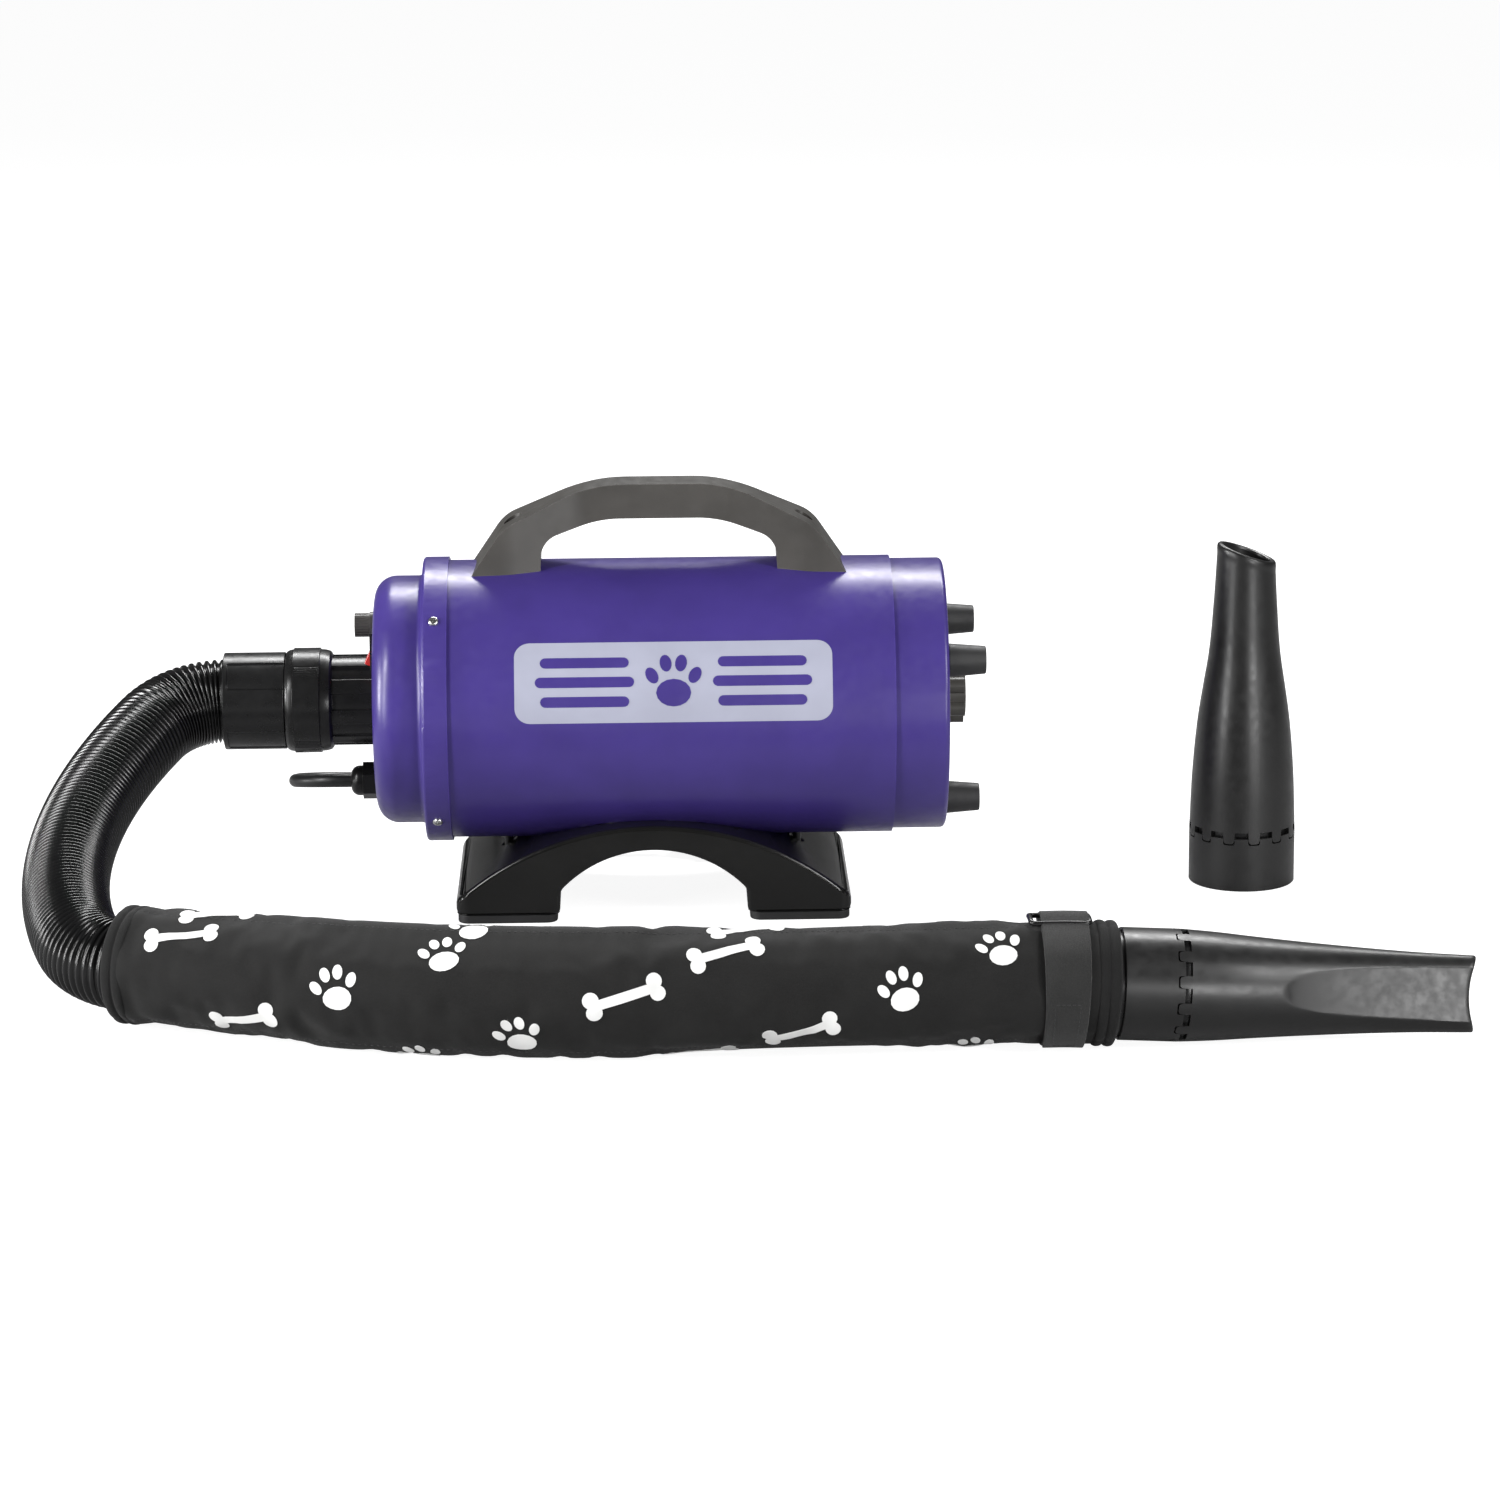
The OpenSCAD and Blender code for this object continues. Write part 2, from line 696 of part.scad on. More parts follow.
// Inner lip of a nozzle that fits in the collar, with the teeth that fill its slots.
module nozzle_lip(len, r) {
    difference() {
        union() {
            translate([0, 0, -lip_len]) cylinder(h = lip_len + 0.6, r = lip_r);
            intersection() {
                translate([0, 0, -4.4]) cylinder(h = 5, r = r - 0.3);
                around(slots, r, slot_start) cube([12, slot_w - 0.8, 12], center = true);
            }
        }
        translate([0, 0, -20]) cylinder(h = 40, r = socket_r - nozzle_wall);
    }
}

module flat_nozzle_collar() {
    color("#1a1a1c") from_body() on_nozzle() rotate([nozzle_roll, 0, 0]) rotate([0, 90, 0])
        nozzle_collar(collar_len, collar_r);
}

// Outer or inner form of the flat nozzle, along local Z: round at the collar, then a tall slot.
module flat_form(inset, extra) {
    shoulder = 8;
    middle = 75;
    end = flat_nozzle_len - collar_len;
    translate([0, 0, -extra]) cylinder(h = shoulder + extra + eps, r = collar_r - inset);
    hull() {
        translate([0, 0, shoulder]) cylinder(h = 1, r = collar_r - inset, $fn = 48);
        translate([0, 0, middle]) linear_extrude(1) rounded_rect(49 - 2 * inset, 30 - 2 * inset, 9, $fn = 32);
    }
    hull() {
        translate([0, 0, middle]) linear_extrude(1) rounded_rect(49 - 2 * inset, 30 - 2 * inset, 9, $fn = 32);
        translate([0, 0, end - 1 + extra]) linear_extrude(1)
            rounded_rect(slot_h - 2 * inset, 14 - 2 * inset, 4, $fn = 32);
    }
}

module flat_nozzle() {
    notch_r = 55;
    color("#1a1a1c") from_body() on_nozzle() rotate([nozzle_roll, 0, 0]) rotate([0, 90, 0])
    translate([0, 0, collar_len + 0.05]) {
        nozzle_lip(collar_len, collar_r);
        difference() {
            flat_form(0, 0);
            flat_form(nozzle_wall, 2);
            translate([0, 0, flat_nozzle_len - collar_len + notch_r - 4]) rotate([90, 0, 0])
                cylinder(h = 80, r = notch_r, center = true);
        }
    }
}

module at_round_nozzle() {
    translate([round_nozzle_at[0], round_nozzle_at[1], 0]) children();
}

module round_nozzle_collar() {
    color("#1a1a1c") from_body() at_round_nozzle() nozzle_collar(collar_len, spare_collar_r);
}

// Half profile of the round nozzle above its collar.
module round_nozzle_2d(inset) {
    h = round_nozzle_h + 20;
    tip_r = 15.3;
    polygon(outline([[0, 0, 0], [spare_collar_r - inset, 0, 0], [spare_collar_r - 0.9 - inset, 28, 300],
        [tip_r - inset, h - collar_len, 0], [0, h - collar_len, 0]]));
}

// Half space above the slanted cut, lowered by drop.
module above_cut(drop) {
    translate([0, 0, round_nozzle_h - 6.5 - collar_len - drop]) rotate([0, tip_cut, 0])
        translate([-60, -60, 0]) cube([120, 120, 80]);
}

module round_nozzle() {
    color("#1a1a1c") from_body() at_round_nozzle() translate([0, 0, collar_len + 0.05]) {
        nozzle_lip(collar_len, spare_collar_r);
        difference() {
            union() {
                rotate_extrude() round_nozzle_2d(0);
                intersection() {
                    rotate_extrude() round_nozzle_2d(-1.1);
                    above_cut(4);
                }
            }
            rotate_extrude() translate([0, -eps]) round_nozzle_2d(nozzle_wall);
            above_cut(0);
        }
        for (a = [45 : 90 : 315]) rotate([0, 0, a]) translate([13.5, -0.7, 140]) cube([4.6, 1.4, 18]);
    }
}

// ---- Controls on the front cover ----

module speed_knob() {
    color("#151517") from_body() facing_front(face_x - 0.8, knob_at[0], knob_at[1]) difference() {
        union() {
            cylinder(h = 4, r = 8);
            cylinder(h = 13, r = 7.2);
        }
        around(24, 7.5) translate([0, 0, 5]) cylinder(h = 20, r = 0.55, $fn = 16);
        translate([0, 0, -1]) cylinder(h = 11, r = pot_shaft_r);
        translate([5.5, 0, 13]) cube([5, 1.2, 1], center = true);
    }
}

module potentiometer_shaft() {
    color("silver") from_body() facing_front(face_x + 9, knob_at[0], knob_at[1])
        cylinder(h = 19.5, r = pot_shaft_r);
}

module speed_potentiometer() {
    color("#3c5a3c") from_body() facing_front(face_x + 13, knob_at[0], knob_at[1]) difference() {
        union() {
            cylinder(h = 9, r = 8);
            cylinder(h = 13.6, r = 3.5);
        }
        translate([0, 0, 3.9]) cylinder(h = 20, r = pot_shaft_r + run_gap);
    }
}

module at_rocker() {
    translate([pivot_x, switch_at[0], axis_h + switch_at[1]]) children();
}

module switch_housing() {
    color("#101012") from_body() at_rocker() difference() {
        union() {
            translate([-2, -7.75, -11.4]) cube([1.75, 15.5, 22.8]);
            translate([-1, -6.4, -10.2]) cube([15, 12.8, 20.4]);
        }
        rotate([90, 0, 0]) cylinder(h = rocker_w + 0.2, r = rocker_r + 0.15, center = true);
        rotate([90, 0, 0]) cylinder(h = 30, r = 1.2 + run_gap, center = true, $fn = 32);
    }
}

module switch_rocker() {
    reach = rocker_r + 2;
    rise = reach * tan(rocker_tilt);
    color("red") from_body() at_rocker() {
        rotate([0, rocker_tilt, 0]) rotate([90, 0, 0]) intersection() {
            cylinder(h = rocker_w, r = rocker_r, center = true);
            linear_extrude(rocker_w + 1, center = true)
                polygon([[-2, 0], [-2 - rise, reach], [reach, reach], [reach, -reach], [-2 - rise, -reach]]);
        }
        rotate([90, 0, 0]) cylinder(h = 12.6, r = 1.2, center = true, $fn = 32);
    }
}

module gland_body() {
    color("#121214") from_body() facing_front(face_x - 0.02, gland_at[0], gland_at[1]) difference() {
        union() {
            cylinder(h = 9.5, r = 11.5, $fn = 6);
            translate([0, 0, -9]) cylinder(h = 18, r = 8);
            translate([0, 0, -7.2]) cylinder(h = 5, r = 12, $fn = 6);
        }
        translate([0, 0, -10]) cylinder(h = 30, r = cord_r + 0.05);
    }
}

module gland_nut() {
    color("#151517") from_body() facing_front(face_x - 9.6, gland_at[0], gland_at[1]) difference() {
        rotate_extrude() rounded_disc_2d(9, 7, 5);
        translate([0, 0, -1]) cylinder(h = 10, r = cord_r + 0.05);
    }
}

// The cord leaves the gland, turns back beside the body and drops to the plug on the table.
module on_cord() {
    translate([face_x + 12, gland_at[0], axis_h + gland_at[1]]) rotate([0, 0, 180]) children();
}

module power_cord() {
    color("#131315") from_body() on_cord()
        rod_run([[cord_lead, 180 + turn_tilt, turn_r, 90], [turn_gap, 0, turn_r, 90],
            [cord_back, 90 + turn_tilt, fall_r, fall], [fall_len, 180, fall_r, fall],
            [cord_end, 0, 0, 0]], cord_r);
}

// Frame at the end of the cord: local X out of the plug's pin face.
module at_plug() {
    along = cord_back - cord_lead + 2 * fall_r * sin(fall) + fall_len * cos(fall) + cord_end;
    translate([face_x + 12 + along, (2 * turn_r + turn_gap) * cos(turn_tilt), plug_r]) children();
}

module plug_body() {
    color("#151517") from_body() at_plug() rotate([0, 90, 0]) {
        translate([0, 0, 0.02]) cylinder(h = 16, r1 = 6.5, r2 = 10);
        translate([0, 0, 16]) rotate_extrude() {
            square([plug_r, 22]);
        }
        translate([0, 0, 12]) cylinder(h = 4.2, r1 = 11, r2 = plug_r);
    }
}

module plug_pins() {
    color("silver") from_body() at_plug() rotate([0, 90, 0]) for (s = [-1, 1])
        translate([0, 9.5 * s, 38.02]) rotate_extrude($fn = 32) rounded_disc_2d(2.4, 19, 1.5);
}

// ---- Electronics and heater ----

module control_board() {
    color("darkgreen") from_body() translate([-78, -28, axis_h + 57]) {
        cube([52, 56, 1.6]);
        translate([6, 5, 1.5]) cube([12, 16, 5]);
        translate([34, 14, 1.5]) cylinder(h = 8, r = 5, $fn = 32);
        translate([34, 42, 1.5]) cylinder(h = 8, r = 5, $fn = 32);
    }
}

module heat_sink() {
    color("silver") from_body() translate([-72, 0, axis_h + 58.65]) {
        cube([14, 22, 2]);
        for (i = [0 : 4]) translate([0, i * 5, 1.5]) cube([14, 1.6, 8]);
    }
}

module heater_duct() {
    color("lightsteelblue") from_body() {
        ring(duct_front, duct_rear, 55, 54);
        ring(duct_rear - 1.2, duct_rear, tube_in - 0.1, 54.5);
    }
}

module coil_rings(wire) {
    for (i = [0 : coil_turns - 1]) facing_front(duct_rear - 8 - i * coil_pitch) rotate_extrude()
        translate([coil_r, 0]) circle(wire, $fn = 16);
}

module heater_frame() {
    color("wheat") from_body() difference() {
        union() for (a = [0, 90]) facing_front(duct_rear - 4) rotate([0, 0, a]) translate([-53.9, -0.6, 0])
            cube([107.8, 1.2, 42]);
        coil_rings(0.95);
    }
}

module heater_coil() {
    color("peru") from_body() {
        coil_rings(0.8);
        facing_front(duct_rear - 8) rotate([0, 0, 45]) translate([coil_r, 0, 0])
            cylinder(h = coil_pitch * (coil_turns - 1), r = 0.7, $fn = 16);
    }
}

// ---- Motors ----

// Local Z runs from a motor's intake face towards the outlet.
module at_motor(x) {
    facing_front(x) children();
}

module at_motors() {
    for (x = [motor_front_x, motor_rear_x]) at_motor(x) children();
}

module acoustic_liner() {
    color("#4a4a50") from_body() difference() {
        union() {
            ring(-60, motor_front_x + 2, tube_in - 0.1, liner_r);
            ring(motor_front_x + 10, motor_rear_x + 1, tube_in - 0.1, liner_r);
        }
        vertical_holes(base_screw_dx, base_screw_y, base_x, nut_r + 2, 30, 60);
        vertical_holes(handle_screw_dx, 0, handle_x, nut_r + 2, 190, 210);
    }
}

module motor_bulkheads() {
    color("lightsteelblue") from_body() at_motors() translate([0, 0, -5]) {
        tube_piece(2, tube_in - 0.1, 46);
        translate([0, 0, -2.5]) tube_piece(3.5, tube_in - 0.1, tube_in - 1.4);
    }
}

module motor_gaskets() {
    color("#202022") from_body() at_motors() {
        translate([0, 0, -2.95]) tube_piece(2.9, fan_r + 6, 46);
        translate([0, 0, -1]) tube_piece(13, fan_r + 6, fan_r + 0.05);
    }
}

module fan_cases() {
    color("silver") from_body() at_motors() {
        tube_piece(1.4, fan_r, 22);
        tube_piece(fan_len, fan_r, fan_r - 1.4);
    }
}

module motor_frames() {
    color("slategray") from_body() at_motors() {
        difference() {
            union() {
                translate([0, 0, fan_len - 3]) cylinder(h = 3, r = fan_r - 1.5);
                translate([0, 0, fan_len - 4]) cylinder(h = 9, r = 11);
            }
            cylinder(h = 60, r = 9);
            translate([0, 0, fan_len]) around(8, 47) cylinder(h = 10, r = 3.2, center = true, $fn = 24);
        }
        difference() {
            translate([0, 0, fan_len - 0.5]) cylinder(h = 55, r = motor_r);
            translate([0, 0, fan_len - 1]) cylinder(h = 52, r = motor_r - 2.5);
            cylinder(h = 100, r = 9);
            translate([0, 0, fan_len + 50]) around(4, 25, 45) cylinder(h = 12, r = 9, center = true);
        }
    }
}

module stators() {
    color("#6e4a2a") from_body() at_motors() translate([0, 0, 45]) tube_piece(26, motor_r - 2.6, 26.3);
}

module motor_bearings() {
    color("silver") from_body() at_motors() for (z = [fan_len - 3, fan_len + 47])
        translate([0, 0, z]) tube_piece(7, 8.95, shaft_r + run_gap);
}

module carbon_brushes() {
    color("#222222") from_body() at_motors() for (s = [0, 180]) rotate([0, 0, s])
        translate([10.6, -3, 73.5]) cube([14, 6, 6]);
}

module motor_shaft() {
    translate([0, 0, 3]) cylinder(h = fan_len + 51.5, r = shaft_r);
}

module impeller() {
    blades = 7;
    difference() {
        union() {
            translate([0, 0, 22]) cylinder(h = 1.4, r = 51);
            translate([0, 0, 6]) tube_piece(1.4, 51, 21);
            translate([0, 0, 6]) cylinder(h = 20, r = 9);
            for (i = [0 : blades - 1]) rotate([0, 0, i * 360 / blades]) intersection() {
                translate([24, 18, 6.5]) tube_piece(16, 31, 29.8);
                translate([7, -40, 6.5]) cube([44, 42, 16]);
                translate([0, 0, 6.5]) cylinder(h = 16, r = 50.5);
            }
        }
        cylinder(h = 60, r = shaft_r);
    }
}

module armature() {
    difference() {
        union() {
            translate([0, 0, 45.5]) cylinder(h = 25, r = 25.4);
            translate([0, 0, 70]) cylinder(h = 10, r = 10.4);
        }
        cylinder(h = 100, r = shaft_r);
        around(12, 25.4) translate([0, 0, 40]) cylinder(h = 40, r = 1.6, $fn = 16);
    }
}

module front_impeller() {
    color("gainsboro") from_body() at_motor(motor_front_x) impeller();
}

module rear_impeller() {
    color("gainsboro") from_body() at_motor(motor_rear_x) impeller();
}

module front_armature() {
    color("#8a5a34") from_body() at_motor(motor_front_x) armature();
}

module rear_armature() {
    color("#8a5a34") from_body() at_motor(motor_rear_x) armature();
}

module front_shaft() {
    color("silver") from_body() at_motor(motor_front_x) motor_shaft();
}

module rear_shaft() {
    color("silver") from_body() at_motor(motor_rear_x) motor_shaft();
}

body_tube();
front_cover();
cover_screws();
rear_cap();
intake_grille();
filter_cover();
air_filter();
filter_knob();
filter_stud();
rear_feet();
rear_foot_screws();
base();
foot_pads();
base_screws();
frame_nuts();
handle();
handle_screws();
outlet_spigot();
lock_ring();
hose_cuff();
hose_loop();
hose_run();
hose_end_cuff();
sleeve();
strap();
strap_buckle();
flat_nozzle_collar();
flat_nozzle();
round_nozzle_collar();
round_nozzle();
speed_knob();
speed_potentiometer();
potentiometer_shaft();
switch_housing();
switch_rocker();
gland_body();
gland_nut();
power_cord();
plug_body();
plug_pins();
control_board();
heat_sink();
heater_duct();
heater_frame();
heater_coil();
acoustic_liner();
motor_bulkheads();
motor_gaskets();
fan_cases();
motor_frames();
stators();
motor_bearings();
carbon_brushes();
front_impeller();
rear_impeller();
front_armature();
rear_armature();
front_shaft();
rear_shaft();
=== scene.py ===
"""Looks of the two-motor pet dryer: materials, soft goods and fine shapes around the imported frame.

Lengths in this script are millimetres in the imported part's frame, and become metres when a mesh is made.
"""
import json
import math

import bmesh
import bpy
import numpy as np
from mathutils import Matrix, Vector
from mathutils.bvhtree import BVHTree


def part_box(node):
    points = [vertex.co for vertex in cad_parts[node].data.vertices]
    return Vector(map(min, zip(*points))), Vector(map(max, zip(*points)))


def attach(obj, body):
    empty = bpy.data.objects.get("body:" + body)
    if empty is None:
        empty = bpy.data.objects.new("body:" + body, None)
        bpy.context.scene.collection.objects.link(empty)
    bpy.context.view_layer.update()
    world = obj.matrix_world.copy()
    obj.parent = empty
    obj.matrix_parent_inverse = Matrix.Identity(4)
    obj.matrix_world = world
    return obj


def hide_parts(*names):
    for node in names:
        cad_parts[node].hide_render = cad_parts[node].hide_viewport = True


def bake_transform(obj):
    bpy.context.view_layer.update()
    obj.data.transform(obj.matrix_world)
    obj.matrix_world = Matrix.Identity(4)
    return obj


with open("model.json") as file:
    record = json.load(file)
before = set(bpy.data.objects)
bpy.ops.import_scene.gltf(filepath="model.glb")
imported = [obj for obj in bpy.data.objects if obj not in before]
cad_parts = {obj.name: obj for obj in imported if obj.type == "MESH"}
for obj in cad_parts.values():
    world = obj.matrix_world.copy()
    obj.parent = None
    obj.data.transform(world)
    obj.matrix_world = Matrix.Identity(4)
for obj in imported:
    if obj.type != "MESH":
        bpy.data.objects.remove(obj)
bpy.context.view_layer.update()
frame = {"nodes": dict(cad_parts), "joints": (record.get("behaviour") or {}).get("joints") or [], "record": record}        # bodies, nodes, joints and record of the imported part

MM = 0.001
UP = np.array([0.0, 0.0, 1.0])
SHARP_ANGLE = math.radians(32)      # edges steeper than this stay sharp, or are rounded by a bevel
JOINTS = {joint["name"]: joint for joint in frame["joints"]}
SLOT_OF = {part["node"]: part["material_slot"] for part in frame["record"]["subparts"]}


def node_box(node):
    """Lowest and highest corner of a CAD node, in millimetres."""
    low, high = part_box(node)
    return np.array(low) / MM, np.array(high) / MM


def joint_place(name):
    """Point and unit axis of a hinge, the point in millimetres."""
    joint = JOINTS[name]
    return np.array(joint["pos_m"]) / MM, np.array(joint["axis"], float)


# ---- Driving sizes, shared with the CAD design ----

tube_low, tube_high = node_box("body_tube")
AXIS_H = (tube_low[2] + tube_high[2]) / 2
TUBE_R = (tube_high[1] - tube_low[1]) / 2
TUBE_MID = (tube_low[0] + tube_high[0]) / 2
CUFF_FRONT = node_box("hose_cuff")[0][0]
RING_LOW, RING_HIGH = node_box("lock_ring")
WAND_START = joint_place("wand_lift")[0]
NOZZLE_START, NOZZLE_AXIS = joint_place("nozzle_swivel")
NOZZLE_LEN = 196.0
SPARE_LOW, SPARE_HIGH = node_box("round_nozzle_collar")
SPARE_TOP = node_box("round_nozzle")[1][2]

HOSE_R = 25.0
RIB_PITCH = 3.6
RIB_DEPTH = 2.4
LOOP_LEAD = 26.0
LOOP_BENDS = [(-27.5, 49.0, 58.8), (20.0, 255.0, 52.0), (-13.6, 55.1, 51.6)]
WAND_HEADING = -20.4
WAND_LEAD = 101.0
WAND_BEND = (500.0, 22.4)
WAND_STRAIGHT = 219.0
WAND_DIP = (200.0, 3.2)
HOSE_TAIL = 21.2
SLEEVE_R = 33.4
SLEEVE_LEAD = 4.0
SLEEVE_WALL = 3.4
STRAP_W = 24.0
STRAP_MID = 4.0
COLLAR_LEN = 32.5
COLLAR_R = 30.8
LIP_FROM = 25.6
NOZZLE_ROLL = -12.0
NOZZLE_WALL = 2.2
COLLAR_WALL = 1.6
TEETH = 13
CORD_R = 4.0


# ---- Centre lines ----

class Run:
    """Centre line made of straight leads and circular bends: (lead, roll, bend radius, bend angle)."""

    def __init__(self, steps, start, heading):
        turn = math.radians(heading)
        point = np.array(start, float)
        way = np.array([math.cos(turn), math.sin(turn), 0.0])
        side = np.array([-math.sin(turn), math.cos(turn), 0.0])
        self.parts, self.length = [], 0.0
        for lead, roll, radius, bend in steps:
            roll, angle = math.radians(roll), math.radians(bend)
            side = side * math.cos(roll) + np.cross(way, side) * math.sin(roll)
            self.parts.append((self.length, point, way, side, 0.0))
            point = point + way * lead
            self.length += lead
            if angle:
                self.parts.append((self.length, point, way, side, radius))
                self.length += radius * angle
                point = point + (way * math.sin(angle) + side * (1 - math.cos(angle))) * radius
                way, side = (way * math.cos(angle) + side * math.sin(angle),
                             side * math.cos(angle) - way * math.sin(angle))

    def at(self, distance):
        """Point, direction, level side direction and the direction square to both."""
        start, point, way, side, radius = [p for p in self.parts if p[0] <= max(distance, 0)][-1]
        gone = distance - start
        if radius:
            a = gone / radius
            point = point + (way * math.sin(a) + side * (1 - math.cos(a))) * radius
            way = way * math.cos(a) + side * math.sin(a)
        else:
            point = point + way * gone
        level = np.cross(UP, way)
        level /= np.linalg.norm(level)
        return point, way, level, np.cross(way, level)

    def on_surface(self, distance, angle, radius):
        """A point beside the centre line: angle 0 is level, 90 degrees is above the line."""
        point, _, level, over = self.at(distance)
        return point + (level * math.cos(angle) + over * math.sin(angle)) * radius


LOOP = Run([(LOOP_LEAD, *LOOP_BENDS[0]), (0, *LOOP_BENDS[1]), (0, *LOOP_BENDS[2])],
           (CUFF_FRONT + LOOP_LEAD, 0, AXIS_H), 180)
WAND = Run([(WAND_LEAD, 0, *WAND_BEND), (WAND_STRAIGHT, -90, *WAND_DIP), (HOSE_TAIL, 0, 0, 0)],
           WAND_START, WAND_HEADING)
BEND_END = WAND_LEAD + WAND_BEND[0] * math.radians(WAND_BEND[1])
STRAP_AT = BEND_END + WAND_STRAIGHT + STRAP_MID - STRAP_W / 2
SLEEVE_END = WAND.length + 1.5


def smooth(t):
    """Eased step from 0 to 1."""
    t = np.clip(t, 0.0, 1.0)
    return t * t * (3 - 2 * t)


def bump(t, width):
    """Rounded rise of height 1 at 0."""
    return np.exp(-(t / width) ** 2)


def curve(x, places):
    """Smooth curve through (x, y) places."""
    xs, ys = np.array(places, float).T
    slopes = np.gradient(ys, xs)
    i = np.clip(np.searchsorted(xs, x) - 1, 0, len(xs) - 2)
    step = xs[i + 1] - xs[i]
    t = np.clip((x - xs[i]) / step, 0, 1)
    return (ys[i] * (1 + 2 * t) * (1 - t) ** 2 + slopes[i] * step * t * (1 - t) ** 2
            + ys[i + 1] * t * t * (3 - 2 * t) + slopes[i + 1] * step * t * t * (t - 1))


# ---- Mesh building ----

def grid_object(name, points, wrap_rows=False, wrap_columns=False, uv_step=(1.0, 1.0), flip=False):
    """Quads over an array of points with rows and columns. UVs are in millimetres."""
    rows, columns = points.shape[:2]
    index = np.arange(rows * columns).reshape(rows, columns)
    if wrap_rows:
        index = np.vstack([index, index[:1]])
    if wrap_columns:
        index = np.hstack([index, index[:, :1]])
    corners = [index[:-1, :-1], index[:-1, 1:], index[1:, 1:], index[1:, :-1]]
    across, along = np.meshgrid(np.arange(index.shape[1] - 1), np.arange(index.shape[0] - 1))
    places = [(along, across), (along, across + 1), (along + 1, across + 1), (along + 1, across)]
    if flip:
        corners, places = corners[::-1], places[::-1]
    faces = np.stack(corners, -1).reshape(-1, 4)
    mesh = bpy.data.meshes.new(name)
    mesh.from_pydata((points.reshape(-1, 3) * MM).tolist(), [], faces.tolist())
    uv = np.stack([np.stack([u * uv_step[0], v * uv_step[1]], -1) for u, v in places], 2)
    mesh.uv_layers.new(name="UVMap").data.foreach_set("uv", uv.reshape(-1).astype(np.float32))
    return add_object(name, mesh)


def add_object(name, mesh):
    mesh.shade_smooth()
    obj = bpy.data.objects.new(name, mesh)
    bpy.context.scene.collection.objects.link(obj)
    return obj


def join_meshes(name, objects):
    """One object from several, whose own objects go away."""
    verts, faces, uvs, base = [], [], [], 0
    for obj in objects:
        mesh = obj.data
        verts += [v.co[:] for v in mesh.vertices]
        faces += [[base + i for i in p.vertices] for p in mesh.polygons]
        uvs += [c for loop in mesh.uv_layers[0].data for c in loop.uv]
        base += len(mesh.vertices)
        bpy.data.objects.remove(obj)
    mesh = bpy.data.meshes.new(name)
    mesh.from_pydata(verts, [], faces)
    mesh.uv_layers.new(name="UVMap").data.foreach_set("uv", uvs)
    return add_object(name, mesh)


def sweep(run, distances, radii, sides):
    """Circles around a centre line. Radii hold one value for each circle, or a row of values."""
    angles = np.arange(sides) * 2 * math.pi / sides
    radii = np.array(radii, float).reshape(len(distances), -1)
    rows = []
    for distance, radius in zip(distances, radii):
        point, _, level, over = run.at(distance)
        ring = np.outer(np.cos(angles), level) + np.outer(np.sin(angles), over)
        rows.append(point + ring * np.broadcast_to(radius, (sides,))[:, None])
    return np.array(rows)


def closed_tube(name, run, distances, radii, wall, sides):
    """A hollow tube along a run, closed at its ends by flat rims."""
    back = distances[::-12]
    inner = [min(radii) - wall] * len(back)
    points = sweep(run, list(distances) + list(back), list(radii) + inner, sides)
    step = (distances[1] - distances[0], 2 * math.pi * HOSE_R / sides)
    return grid_object(name, points, wrap_rows=True, wrap_columns=True, uv_step=step)


def wire_loop(name, path, normals, radius, sides=12):
    """A closed round bar along points; normals give its sideways direction at each point."""
    rows = []
    for i in range(len(path)):
        way = path[(i + 1) % len(path)] - path[i - 1]
        side = np.cross(way / np.linalg.norm(way), normals[i])
        side /= np.linalg.norm(side)
        angles = np.arange(sides) * 2 * math.pi / sides
        ring = np.outer(np.cos(angles), normals[i]) + np.outer(np.sin(angles), side)
        rows.append(path[i] + ring * radius)
    return grid_object(name, np.array(rows), wrap_rows=True, wrap_columns=True, flip=True)


def bevel(obj, width, clamp=True):
    modifier = obj.modifiers.new("soft_edges", "BEVEL")
    modifier.width = width * MM
    modifier.segments = 3
    modifier.limit_method = "ANGLE"
    modifier.angle_limit = SHARP_ANGLE
    modifier.use_clamp_overlap = clamp
    modifier.harden_normals = True
    modifier.miter_outer = "MITER_ARC"


def solidify(obj, thickness, offset=-1.0):
    modifier = obj.modifiers.new("thickness", "SOLIDIFY")
    modifier.thickness = thickness * MM
    modifier.offset = offset


def subdivide(obj, levels=1):
    modifier = obj.modifiers.new("subdivision", "SUBSURF")
    modifier.levels = modifier.render_levels = levels


def apply_modifiers(obj):
    evaluated = obj.evaluated_get(bpy.context.evaluated_depsgraph_get())
    mesh = bpy.data.meshes.new_from_object(evaluated)
    obj.modifiers.clear()
    obj.data = mesh


